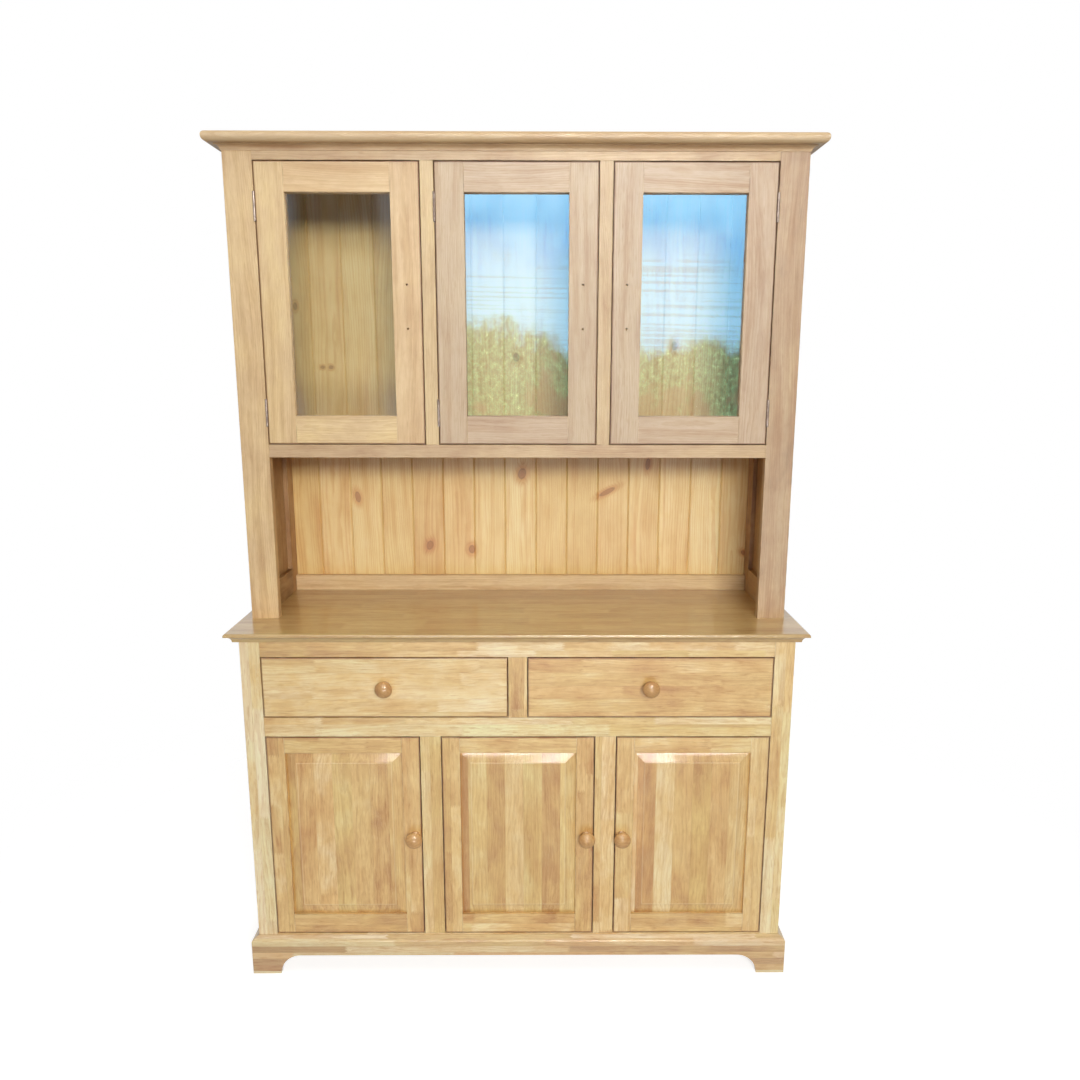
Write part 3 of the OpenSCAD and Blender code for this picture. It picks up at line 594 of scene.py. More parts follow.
class WoodShader:
    """Writes the nodes of a wood finish, from the coordinates that each board carries."""

    def __init__(self, finish: WoodFinish, graph: Graph) -> None:
        """Reads the board's coordinates, and draws its blocks, knots and figure.

        Args:
            finish: What the wood looks like.
            graph: Where its nodes are written.
        """
        self.finish, self.timber, self.graph = finish, finish.timber, graph
        self.place = graph.attribute("grain")
        self.along, self.across, self.through = self.place.split()
        self.seed, self.shift, self.bleach_and_sheen = graph.attribute("board").split()
        self.stave, self.block_run, self.field_in = graph.attribute("glued").split()
        blocks, self.glue = self._blocks()
        self.chance_a, self.chance_b, self.chance_c = blocks.split()
        self.knot_away = self._knot_distance() if finish.knots else None
        grain = self._rings()
        self.streak, self.fibre, pore, dash, self.blotch = (
            speckle.noise(graph, grain) for speckle in (STREAK, FIBRE, PORE, DASH, BLOTCH)
        )
        self.pore, self.dash = PORE.mask(pore), DASH.mask(dash)

    def _blocks(self) -> tuple[Value, Operand]:
        """Finds the block that the point lies in.

        Returns:
            Three random numbers of the block, and a mask of glue lines.
        """
        chances, seed = self.graph.chances, self.seed
        if self.finish.lamination is None:
            return chances(seed * BOARDS_APART, 1.0, 2.0), 0.0
        glued = self.finish.lamination
        lane = self.across / self.stave + seed * LANE_SHIFT
        row = lane.floor()
        of_stave = chances(row, seed * STAVES_APART, 5.0)
        start = of_stave.out("Value")
        half_pitch = glued.pitch / 2
        fingers = self.across.pingpong(half_pitch) * (glued.finger / half_pitch)
        block_run = self.block_run * (start * BLOCK_RANGE + SHORTEST_BLOCK)
        run = (self.along + fingers) / block_run + start * BLOCK_SHIFT
        of_block = chances(row, run.floor(), seed * BLOCKS_APART)
        away = (lane.pingpong(0.5) * self.stave).at_most(run.pingpong(0.5) * self.block_run)
        return self.graph.mix(glued.likeness, of_block, of_stave), away.step(*GLUE_LINE)

    def _knot_distance(self) -> Value:
        """Distance to the nearest knot.

        Returns:
            The distance, where 1 is the knot's rim.
        """
        x, _, z = self.graph.node("ShaderNodeTexCoord", output="Object").split()
        nearest = None
        for knot in self.finish.knots:
            cos, sin = math.cos(math.radians(knot.lean)), math.sin(math.radians(knot.lean))
            off_x, off_z = x - knot.x, z - knot.z
            wide = (off_x * cos - off_z * sin) / knot.across
            tall = (off_x * sin + off_z * cos) / knot.along
            away = (wide * wide + tall * tall).root()
            nearest = away if nearest is None else nearest.at_most(away)
        return nearest

    def _rings(self) -> Value:
        """Draws the growth rings that the board's face cuts.

        Returns:
            The place in the log that the board was sawn from.
        """
        graph, timber = self.graph, self.timber
        lengthwise = self.along + self.chance_c * GRAIN_RUN
        sway = graph.vector(lengthwise, self.across, self.chance_a).scaled(*SWAY_SCALE)
        sway = graph.noise(sway, 1.0, 1.0) - 0.5
        off_pith = self.across + (self.chance_a - 0.5) * PITH_ASIDE + sway * PITH_SWAY
        below_pith = self.through + self.chance_b * PITH_DEEPER + PITH_BELOW
        wander = graph.vector(lengthwise, self.across, self.through).scaled(*WANDER_SCALE)
        wander = graph.noise(wander, 1.0, 3.0, 0.6) - 0.5
        radius = (off_pith * off_pith + below_pith * below_pith).root()
        radius = radius + wander * (timber.wave * timber.ring)
        if self.knot_away:
            radius = radius + self.knot_away.step(KNOT_REACH, 0.0) * KNOT_BULGE
        years = radius / timber.ring
        season = graph.noise(graph.vector(years * 0.35, self.chance_b * 20.0, 0.0), 1.0, 1.0)
        phase = (years + season * 1.6).fraction()
        self.late = phase ** LATE_RISE * (1.0 - phase ** LATE_END) * LATE_PEAK
        return graph.vector(lengthwise, off_pith, below_pith)

    def _plain_colour(self) -> Value:
        """Colours the board or block before its grain is drawn.

        Returns:
            The colour.
        """
        graph, finish, cloud = self.graph, self.finish, self.blotch - 0.5
        variety, _, _ = graph.attribute("variety").split()
        tone = (self.chance_c - 0.5) * (variety * finish.spread)
        tone = tone + self.shift + 0.5 + cloud * finish.mottle
        last = len(finish.tones) - 1
        colour = graph.ramp(tone, [(i / last, colour) for i, colour in enumerate(finish.tones)])
        warmth = ((self.chance_b - 0.5) * variety + cloud) * finish.hue
        colour = graph.tint(warmth.at_least(0.0), colour, PINKISH)
        colour = graph.tint((warmth * -1.0).at_least(0.0), colour, OLIVE)
        # Mixed towards greyish pink: the wood's own colour, and partly painted sheen on the right-hand
        # rack
        return graph.mix(self.bleach_and_sheen, colour, BLEACH_AND_SHEEN_TINT)

    def _grained(self, colour: Value) -> Value:
        """Darkens a colour by rings, streaks, fibres, pores, dashes and glue lines.

        Args:
            colour: The plain colour.

        Returns:
            The colour with its grain.
        """
        timber, lamination = self.timber, self.finish.lamination
        fine = (FIBRE.mask(self.fibre) * timber.fibre).at_least(self.pore * timber.pore)
        masks = (
            self.late * timber.late,
            STREAK.mask(self.streak) * timber.streak,
            fine.at_least(self.dash * timber.dash),
        )
        for mask in masks:
            colour = self.graph.tint(mask, colour, timber.late_tint)
        return self.graph.mix(self.glue * lamination.glue, colour, GLUE) if lamination else colour

    def _knotted(self, colour: Value) -> Value:
        """Draws knots with a halo, a heart with rings and a line of bark.

        Args:
            colour: The colour without knots.

        Returns:
            The colour with knots, where the finish has some.
        """
        if not self.knot_away:
            return colour
        graph = self.graph
        ragged = self.knot_away + (self.streak - 0.5) * KNOT_RAGGED
        rings = (ragged * 4.0 + self.fibre).pingpong(0.5) * 0.6 + 0.45
        colour = graph.tint(ragged.step(*HALO_FADE) * 0.55, colour, KNOT_HALO)
        colour = graph.mix(rings * ragged.step(*HEART_FADE), colour, KNOT_HEART)
        return graph.mix(ragged.band(*BARK_BAND) * 0.5, colour, KNOT_BARK)

    def _edge_distance(self) -> Value:
        """Distance from a point on a board's face to the face's nearest edge.

        Returns:
            The distance, in metres.
        """
        half = self.graph.attribute("half").split()
        away = [h - abs(p) for h, p in zip(half, (self.along, self.across, self.through))]
        low, high = away[0].at_most(away[1]), away[0].at_least(away[1])
        return low.at_least(high.at_most(away[2]))

    def _rim_distance(self) -> Value:
        """Distance from a point on a door's or drawer's face to its outline.

        Returns:
            The distance, in metres.
        """
        reach_x, _, reach_z = self.graph.attribute("reach").split()
        x, _, z = self.graph.attribute("rim").split()
        return (reach_x - abs(x)).at_most(reach_z - abs(z))

    def _aged_and_shaded(self, colour: Value) -> tuple[Value, Value]:
        """Dirties and wears a board's edges, with painted shade in grooves and gaps; paints shade round a
        door's outline, beside a raised field's step and at its bevel's foot, and a painted highlight on
        the step's crest.

        Args:
            colour: The colour of the clean board.

        Returns:
            The aged and shaded colour, and the edges' grime and painted shade.
        """
        graph, palest = self.graph, self.finish.tones[0]
        edge, rim = self._edge_distance(), self._rim_distance()
        rub = graph.noise(self.place.shifted(graph.vector(0.0, self.seed * 7.0, 0.0)), 35.0, 3.0)
        # Grime along each board's edges, which is also painted shade in the back boards' grooves and the
        # gaps round doors and drawers
        edge_grime_shade = edge.step(*GRIME_SHADE_EDGE) * rub.step(*GRIME_SHADE_RUB) * self.finish.grime_and_shade
        worn = edge.step(*WORN_EDGE) * rub.step(*WORN_RUB)
        colour = graph.mix(worn * 0.35, graph.tint(edge_grime_shade, colour, GRIME_SHADE_TINT), palest)
        # Painted shade in the gaps round a door's or drawer's outline, half as strong on its edge faces
        on_front = rim.step(*ON_FRONT) * 0.5 + 0.5
        outline = rim.step(*GAP_SHADE_REACH) * (rub * 0.5 + 0.6) * on_front
        inside = rim - self.field_in + self.field_in.step(1 * MM, 0.0)
        # Painted shade in the corner beside a raised field's step
        step_shade = inside.band(*STEP_SHADE_BAND) * rub * 0.2
        # Painted shade on a raised panel's bevel at its foot, next to the frame
        foot_shade = inside.band(*FOOT_SHADE_BAND) * 0.16
        colour = graph.tint(outline.at_least(step_shade).at_least(foot_shade), colour, PAINTED_SHADE_TINT)
        # Painted highlight: a pale line along the crest of a raised field's step, where its arris catches
        # the light
        crest_highlight = inside.band(*CREST_HIGHLIGHT_BAND) * 0.25
        return graph.mix(crest_highlight, colour, palest), edge_grime_shade

    def write(self) -> None:
        """Writes the colour, the finish and the relief."""
        graph, late, fibre = self.graph, self.late, self.fibre
        colour, edge_grime_shade = self._aged_and_shaded(self._knotted(self._grained(self._plain_colour())))
        height = fibre * 0.35 - late * 0.25 - self.pore * 0.9 * self.timber.pore - self.glue * 0.5
        uneven = (self.blotch - 0.5) * 0.12 + (fibre - 0.5) * 0.14 + late * 0.06 + edge_grime_shade * 0.3
        close_material(graph, graph.node("ShaderNodeBsdfPrincipled", inputs={
            "Base Color": colour,
            "Roughness": uneven + self.finish.roughness,
            "Normal": graph.bump(0.35, RELIEF, height),
            "Coat Weight": self.finish.coat,
            "Coat Roughness": self.finish.gloss,
            "Coat IOR": LACQUER_IOR,
            "IOR": LACQUER_IOR,
        }))


@dataclass(frozen=True)
class MetalFinish:
    """Plated or bare metal with fine scratches and a little tarnish.

    Attributes:
        name: The material's name.
        bright: Colour where it is clean.
        dull: Colour where it is tarnished.
        roughness: Roughness where it is clean.
    """

    name: str
    bright: Colour
    dull: Colour
    roughness: float

    def build(self) -> bpy.types.Material:
        """Writes the material's nodes.

        Returns:
            The finished material.
        """
        material, graph = new_material(self.name)
        place = graph.node("ShaderNodeTexCoord", output="Object")
        tarnish = graph.noise(place, 70.0, 4.0, 0.55).step(0.3, 0.8)
        scratch = graph.noise(place.scaled(1.0, 1.0, 0.06), 2600.0, 2.0)
        close_material(graph, graph.node("ShaderNodeBsdfPrincipled", inputs={
            "Base Color": graph.mix(tarnish, self.bright, self.dull),
            "Metallic": 1.0,
            "Roughness": tarnish * 0.2 + (scratch - 0.5) * 0.1 + self.roughness,
            "Normal": graph.bump(0.25, 0.06 * MM, scratch),
        }))
        return material


@dataclass(frozen=True)
class GlassFinish:
    """Window glass as a thin mirror that lets most light through, with dust on it.

    Attributes:
        name: The material's name.
        mirror: How much stronger than one bare face each face mirrors.
        dust: How much the dust hides.
        head_on: How much a bare face mirrors where it is seen head on.
        colour: Colour of what it mirrors.
    """

    name: str
    mirror: float
    dust: float
    head_on: float = 0.042
    colour: Colour = screen(250, 253, 252)

    def build(self) -> bpy.types.Material:
        """Writes the material's nodes.

        Returns:
            The finished material.
        """
        material, graph = new_material(self.name)
        place = graph.node("ShaderNodeTexCoord", output="Object")
        film = graph.noise(place, 6.0, 4.0, 0.6)
        specks = graph.noise(place, 900.0, 1.0).step(0.7, 0.8)
        slant = graph.node("ShaderNodeLayerWeight", inputs={"Blend": 0.5}, output="Facing")
        bare = slant ** 5.0 * (1.0 - self.head_on) + self.head_on
        dust = film.step(0.45, 0.75) * (self.dust * 0.4) + specks * self.dust
        ripple = graph.noise(place.scaled(1.0, 1.0, 0.4), 4.0, 1.0)
        close_material(graph, graph.node("ShaderNodeBsdfPrincipled", inputs={
            "Base Color": self.colour,
            "Metallic": 1.0,
            "Roughness": film * 0.012 + specks * 0.3 + 0.004,
            "Alpha": bare * self.mirror + dust,
            "Normal": graph.bump(0.15, 1.2 * MM, ripple),
        }))
        return material


OAK = Timber(
    ring=3.4 * MM, late=0.34, late_tint=screen(200, 160, 108),
    wave=2.4, streak=0.5, fibre=0.22, pore=0.35, dash=0.2,
)
BEECH = Timber(
    ring=7.0 * MM, late=0.36, late_tint=screen(202, 154, 94),
    wave=3.8, streak=0.46, fibre=0.14, pore=0.3, dash=0.4,
)
PINE = Timber(
    ring=5.0 * MM, late=0.46, late_tint=screen(220, 168, 104),
    wave=1.8, streak=0.5, fibre=0.14, pore=0.0, dash=0.0,
)

BOARD_KNOTS = tuple(
    Knot(*(size * MM for size in sizes), lean)
    for *sizes, lean in (
        (-436, 1133, 6, 12, -12),
        (-246, 1001, 8, 11, 20),
        (-133, 990, 7, 10, 0),
        (4, 1196, 9, 13, 14),
        (231, 1147, 5, 19, 62),
        (339, 1222, 5, 13, 6),
        (606, 980, 5, 8, -60),
        (-577, 1628, 4, 7, 0),
        (-514, 1474, 5, 3.5, 0),
        (-492, 1474, 5, 4, 0),
        (-10, 1500, 7, 9, 0),
        (400, 1530, 6, 10, -8),
        (-520, 340, 7, 10, 0),
        (-190, 560, 6, 9, 15),
        (150, 250, 8, 11, 0),
        (480, 620, 6, 8, -20),
    )
)

FINISHES = {
    Slot.RACK_OAK: WoodFinish(
        "rack_oak", OAK,
        palette((252, 228, 176), (242, 214, 160), (227, 197, 148), (208, 176, 130),
                (180, 143, 98), (128, 92, 54)),
        spread=0.14, roughness=0.5, coat=0.1, hue=0.6, gloss=0.35, mottle=0.7,
    ),
    Slot.BASE_WOOD: WoodFinish(
        "base_wood", BEECH,
        palette((253, 240, 200), (246, 225, 171), (236, 205, 139), (220, 181, 115),
                (195, 151, 92)),
        spread=0.95, roughness=0.42, coat=0.8, lamination=Lamination(),
        gloss=0.16, hue=0.95, mottle=1.3,
    ),
    Slot.COUNTER_WOOD: WoodFinish(
        "counter_wood", BEECH,
        palette((232, 206, 148), (219, 191, 131), (202, 172, 114), (184, 152, 98)),
        spread=0.5, roughness=0.36, coat=0.9, lamination=Lamination(), gloss=0.12, hue=0.4,
    ),
    Slot.BACK_PINE: WoodFinish(
        "back_pine", PINE,
        palette((248, 228, 172), (242, 217, 152), (231, 201, 135), (219, 182, 116)),
        spread=0.85, roughness=0.5, coat=0.08, knots=BOARD_KNOTS, grime_and_shade=0.5, hue=0.4, mottle=1.0,
    ),
    Slot.INNER_WOOD: WoodFinish(
        "inner_wood", BEECH,
        palette((232, 212, 170), (222, 198, 152), (212, 184, 138)),
        spread=0.6, roughness=0.55, coat=0.0, lamination=Lamination(),
    ),
    Slot.KNOB_WOOD: WoodFinish(
        "knob_wood", BEECH,
        palette((218, 175, 110), (202, 157, 94), (178, 132, 74)),
        spread=0.4, roughness=0.42, coat=0.5, gloss=0.1, hue=0.2, grime_and_shade=0.0,
    ),
    Slot.GLASS: GlassFinish("pane_glass", mirror=2.5, dust=0.01),
    Slot.HINGE_STEEL: MetalFinish("hinge_steel", screen(150, 134, 122), screen(104, 86, 74), 0.42),
    Slot.PIVOT_BRASS: MetalFinish("pivot_brass", screen(214, 180, 106), screen(150, 116, 62), 0.25),
}


class Workshop:
    """Builds each finish once and hands it out."""

    def __init__(self) -> None:
        """Starts with no material made."""
        self._made: dict[Slot, bpy.types.Material] = {}

    def material(self, slot: Slot) -> bpy.types.Material:
        """The material of a slot, built when it is first asked for.

        Args:
            slot: The record's slot.

        Returns:
            The material.
        """
        if slot not in self._made:
            self._made[slot] = FINISHES[slot].build()
        return self._made[slot]


@dataclass(frozen=True)
class Part:
    """A CAD node and how it is dressed.

    Attributes:
        node: The node's name.
        slot: The record's slot that it takes its finish from.
        arris: Width of the softened edges, in metres, or 0 for none.
        tone: How far its boards lie towards the dark tones, from -0.5 to 0.5.
        bleach_and_sheen: How far they have gone greyish pink, from 0 to 1; on the centre and right glazed
            doors it is partly painted sheen.
        fade: How much darker and more greyish pink they are a metre further right: painted shade and sheen
            for how the light falls on the right side.
        stave: Width of its staves, in metres, where it is glued up from staves.
        block: Mean length of a stave's blocks, in metres.
        field: How far a raised field lies inside the outline, in metres, or 0 for none.
        variety: How far its staves differ, as a share of the finish's own spread.
        rim: Whether its outline takes painted shade, as the gaps round doors and drawers do.
        crease: Angle above which an edge between two faces shades sharp, in degrees.
    """

    node: str
    slot: Slot
    arris: float = 0.6 * MM
    tone: float = 0.0
    bleach_and_sheen: float = 0.0
    fade: float = 0.0
    stave: float = 42 * MM
    block: float = 0.3
    field: float = 0.0
    variety: float = 1.0
    rim: bool = False
    crease: float = 13.0


@dataclass(frozen=True)
class Box:
    """The space between a lowest and a highest corner, in metres."""

    low: tuple[float, ...]
    high: tuple[float, ...]

    @classmethod
    def round(cls, points: np.ndarray) -> "Box":
        """The box round some points, with the room of a joint."""
        return cls(tuple(points.min(0) - JOINT_ROOM), tuple(points.max(0) + JOINT_ROOM))

    def holds(self, place: Vector) -> bool:
        """Whether a point lies in the box."""
        return all(low < number < high for low, number, high in zip(self.low, place, self.high))


class SolidReader:
    """Finds the closed solids in a CAD node's loose triangles."""

    def __init__(self, mesh: bpy.types.Mesh) -> None:
        """Reads the points and triangles of a mesh, with points at one place joined.

        Args:
            mesh: A CAD node's mesh.
        """
        places = np.empty(len(mesh.vertices) * 3)
        mesh.vertices.foreach_get("co", places)
        places = places.reshape(-1, 3)
        _, first, same = np.unique(
            np.round(places / WELD).astype(np.int64), axis=0, return_index=True, return_inverse=True
        )
        same = same.reshape(-1)
        self.points = places[first]
        found = {}
        for polygon in mesh.polygons:
            face = [int(same[v]) for v in polygon.vertices]
            if len(set(face)) == len(face):
                found.setdefault(frozenset(face), face)
        self.faces = list(found.values())

    def solids(self) -> list[list[list[int]]]:
        """The faces of each closed solid.

        Two solids that touch share points and edges, so faces are joined only over edges
        that exactly two faces use.

        Returns:
            One list of faces for each solid.
        """
        users: dict[tuple[int, int], list[int]] = {}
        for index, face in enumerate(self.faces):
            for a, b in zip(face, face[1:] + face[:1]):
                users.setdefault((min(a, b), max(a, b)), []).append(index)
        parent = list(range(len(self.faces)))

        def root(index: int) -> int:
            """Finds the face that stands for a group of faces.

            Args:
                index: A face of the group.

            Returns:
                The face that stands for it.
            """
            while parent[index] != index:
                parent[index] = parent[parent[index]]
                index = parent[index]
            return index

        for pair in users.values():
            if len(pair) == 2:
                parent[root(pair[0])] = root(pair[1])
        groups: dict[int, list[list[int]]] = {}
        for index, face in enumerate(self.faces):
            groups.setdefault(root(index), []).append(face)
        return list(groups.values())


class Joiner:
    """Turns a CAD node into a dressed piece: softened edges and board coordinates."""

    def __init__(self, workshop: Workshop) -> None:
        """Takes the maker of materials."""
        self.workshop = workshop

    def dress(self, part: Part) -> bpy.types.Object:
        """Makes the piece that stands for a node.

        Args:
            part: The node and how it is dressed.

        Returns:
            The piece, riding on the node's body.
        """
        source = frame["nodes"][part.node]
        reader = SolidReader(source.data)
        whole = bmesh.new()
        solids = reader.solids()
        boxes = [Box.round(reader.points[sorted({n for face in faces for n in face})]) for faces in solids]
        for index, faces in enumerate(solids):
            chance = random.Random(f"{part.node} {index}")
            others = boxes[:index] + boxes[index + 1:]
            self._add_solid(whole, reader.points, faces, part, chance.random(), others)
        mesh = bpy.data.meshes.new(part.node + "_dressed")
        whole.to_mesh(mesh)
        whole.free()
        mesh.materials.append(self.workshop.material(part.slot))
        piece = link_object(part.node + "_dressed", mesh)
        self._weigh_normals(piece)
        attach(piece, source["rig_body"])
        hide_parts(part.node)
        log.info("%s: %d solids, %d faces", piece.name, len(solids), len(piece.data.polygons))
        return piece

    def _add_solid(self, whole: bmesh.types.BMesh, points: np.ndarray, faces: list[list[int]],
                   part: Part, seed: float, others: list[Box]) -> None:
        """Softens one solid, writes its board coordinates and adds it to the node's mesh.

        Args:
            whole: The mesh that gathers the node's solids.
            points: All points of the node.
            faces: The solid's faces, as point numbers.
            part: How the node is dressed.
            seed: The solid's random number.
            others: The boxes of the node's other solids.
        """
        solid = bmesh.new()
        numbers = sorted({number for face in faces for number in face})
        made = {number: solid.verts.new(points[number]) for number in numbers}
        for face in faces:
            solid.faces.new([made[number] for number in face]).smooth = True
        solid.normal_update()
        if part.arris:
            self._soften(solid, part, others)
        else:
            for edge in solid.edges:
                edge.smooth = edge.calc_face_angle(0.0) <= ARRIS_ANGLE
        self._write_board(solid, points, part, seed)
        mesh = bpy.data.meshes.new("solid")
        solid.to_mesh(mesh)
        solid.free()
        whole.from_mesh(mesh)
        bpy.data.meshes.remove(mesh)

    @staticmethod
    def _soften(solid: bmesh.types.BMesh, part: Part, others: list[Box]) -> None:
        """Joins coplanar triangles and rounds the convex edges that lie on no neighbour.

        Args:
            solid: The solid's mesh.
            part: How the node is dressed.
            others: The boxes of the node's other solids, whose joints stay sharp.
        """
        bmesh.ops.dissolve_limit(
            solid, angle_limit=FLAT_ANGLE, verts=solid.verts, edges=solid.edges,
            use_dissolve_boundaries=False,
        )
        for edge in solid.edges:
            edge.smooth = edge.calc_face_angle(0.0) <= math.radians(part.crease)
        sharp = [
            edge for edge in solid.edges
            if edge.is_convex and edge.calc_face_angle(0.0) > ARRIS_ANGLE
            and not any(box.holds((edge.verts[0].co + edge.verts[1].co) / 2) for box in others)
        ]
        rounded = bmesh.ops.bevel(
            solid, geom=sharp, offset=part.arris, offset_type="OFFSET", segments=2, profile=0.5,
            affect="EDGES", clamp_overlap=True,
        )
        for face in rounded["faces"]:
            face.smooth = True
            for edge in face.edges:
                edge.smooth = True

    @staticmethod
    def _write_board(solid: bmesh.types.BMesh, points: np.ndarray, part: Part, seed: float) -> None:
        """Writes a board's own coordinates: along its longest side, across it and through it.

        Args:
            solid: The board's mesh.
            points: All points of the node.
            part: How the node is dressed.
            seed: The board's random number.
        """
        places = np.array([vert.co for vert in solid.verts])
        low, high = places.min(0), places.max(0)
        order = np.argsort(low - high, kind="stable")
        middle, half = (low + high) / 2, (high - low) / 2
        centre, reach = (points.min(0) + points.max(0)) / 2, (points.max(0) - points.min(0)) / 2
        # Painted shade and sheen: the fade makes boards darker and greyer pink further right
        tone = part.tone + part.fade * middle[0]
        bleach_and_sheen = max(0.0, part.bleach_and_sheen + RIGHTWARD_SHEEN * part.fade * middle[0])
        same = {
            "half": Vector(half[order]),
            "board": Vector((seed, tone, bleach_and_sheen)),
            "reach": Vector(reach if part.rim else reach + NO_RIM),
            "variety": Vector((part.variety, 0.0, 0.0)),
            "glued": Vector((part.stave, part.block, part.field)),
        }
        grain, rim = (solid.verts.layers.float_vector.new(name) for name in ("grain", "rim"))
        layers = {name: solid.verts.layers.float_vector.new(name) for name in same}
        for vert, place in zip(solid.verts, places):
            vert[grain] = Vector((place - middle)[order])
            vert[rim] = Vector(place - centre)
            for name, value in same.items():
                vert[layers[name]] = value

    @staticmethod
    def _weigh_normals(piece: bpy.types.Object) -> None:
        """Keeps flat faces flat in the light beside their softened edges.

        Args:
            piece: The dressed piece.
        """
        modifier = piece.modifiers.new("flat faces", "WEIGHTED_NORMAL")
        modifier.mode = "FACE_AREA"
        modifier.weight = LARGE_FACES
        modifier.keep_sharp = True
        settle(piece)


def settle(piece: bpy.types.Object) -> None:
    """Turns what a piece's modifiers make into its own plain mesh.

    Args:
        piece: An object with a mesh.
    """
    depsgraph = bpy.context.evaluated_depsgraph_get()
    made = bpy.data.meshes.new_from_object(piece.evaluated_get(depsgraph), depsgraph=depsgraph)
    made.name = piece.name
    piece.modifiers.clear()
    piece.data = made


@dataclass(frozen=True)
class Head:
    """The shape of a screw's, nail's or magnet's head.

    Attributes:
        radius: Radius of the head, in metres.
        depth: Thickness of the head, in metres.
        proud: How far it stands above what it is in, in metres.
        recess: Depth of the cross recess, in metres, or 0 for none.
    """

    radius: float
    depth: float
    proud: float
    recess: float = 0.0


LEAF_SCREW = Head(radius=2.6 * MM, depth=0.6 * MM, proud=0.05 * MM, recess=0.45 * MM)
PLATE_SCREW = Head(radius=4.0 * MM, depth=2.0 * MM, proud=0.8 * MM, recess=1.2 * MM)
BOARD_NAIL = Head(radius=2.2 * MM, depth=1.2 * MM, proud=0.3 * MM)
CATCH_MAGNET = Head(radius=4.0 * MM, depth=2.0 * MM, proud=0.12 * MM)


class HeadTree:
    """Geometry Nodes that set a head at each point of a mesh, facing as its attribute says."""

    INPUTS = (
        ("Radius", "NodeSocketFloat"),
        ("Depth", "NodeSocketFloat"),
        ("Proud", "NodeSocketFloat"),
        ("Recess", "NodeSocketFloat"),
        ("Has recess", "NodeSocketBool"),
        ("Metal", "NodeSocketMaterial"),
    )
    SIDES = 20
    SEED = 7
    BAR = 1.2
    BAR_THIN = 0.24

    def __init__(self) -> None:
        """Builds the tree."""
        self.tree = bpy.data.node_groups.new("fixing_heads", "GeometryNodeTree")
        graph = Graph(self.tree)
        face = self.tree.interface
        face.new_socket("Geometry", in_out="INPUT", socket_type="NodeSocketGeometry")
        face.new_socket("Geometry", in_out="OUTPUT", socket_type="NodeSocketGeometry")
        self.identifiers = {
            name: face.new_socket(name, in_out="INPUT", socket_type=kind).identifier
            for name, kind in self.INPUTS
        }
        given = graph.node("NodeGroupInput")
        radius, depth, proud, recess = (given.out(n) for n in ("Radius", "Depth", "Proud", "Recess"))
        head = graph.node("GeometryNodeMeshCylinder", inputs={
            "Vertices": self.SIDES, "Radius": radius, "Depth": depth,
        })
        top = graph.vector(0.0, 0.0, depth * 0.5)
        driven = graph.node("GeometryNodeMeshBoolean", {"operation": "DIFFERENCE"}, {"Mesh 1": head})
        for wide, deep in ((self.BAR, self.BAR_THIN), (self.BAR_THIN, self.BAR)):
            size = graph.vector(radius * wide, radius * deep, recess * 2.0)
            bar = graph.node("GeometryNodeMeshCube", inputs={"Size": size})
            bar = graph.node("GeometryNodeTransform", inputs={"Geometry": bar, "Translation": top})
            self.tree.links.new(bar.socket, Graph.find(driven.owner.inputs, "Mesh 2"))
        chosen = graph.node("GeometryNodeSwitch", {"input_type": "GEOMETRY"}, {
            "Switch": given.out("Has recess"), "False": head, "True": driven,
        })
        seated = graph.node("GeometryNodeTransform", inputs={
            "Geometry": chosen, "Translation": graph.vector(0.0, 0.0, proud - depth * 0.5),
        })
        facing = graph.node(
            "GeometryNodeInputNamedAttribute", {"data_type": "FLOAT_VECTOR"}, {"Name": "facing"}
        )
        aligned = graph.node("FunctionNodeAlignRotationToVector", {"axis": "Z"}, {"Vector": facing})
        angle = graph.node("FunctionNodeRandomValue", {"data_type": "FLOAT"}, {
            "Min_001": 0.0, "Max_001": math.pi, "Seed": self.SEED,
        }, "Value_001")
        spin = graph.node("FunctionNodeAxisAngleToRotation", inputs={
            "Axis": (0.0, 0.0, 1.0), "Angle": angle,
        })
        turned = graph.node("FunctionNodeRotateRotation", {"rotation_space": "LOCAL"}, {
            "Rotation": aligned, "Rotate By": spin,
        })
        placed = graph.node("GeometryNodeInstanceOnPoints", inputs={
            "Points": given, "Instance": seated, "Rotation": turned,
        })
        real = graph.node("GeometryNodeRealizeInstances", inputs={"Geometry": placed})
        coated = graph.node("GeometryNodeSetMaterial", inputs={
            "Geometry": real, "Material": given.out("Metal"),
        })
        graph.node("NodeGroupOutput", inputs={"Geometry": coated})


@dataclass(frozen=True)
class Fixing:
    """Where one head sits.

    Attributes:
        place: The point on the surface, in metres.
        facing: The way that the head looks.
    """

    place: tuple[float, float, float]
    facing: tuple[float, float, float]


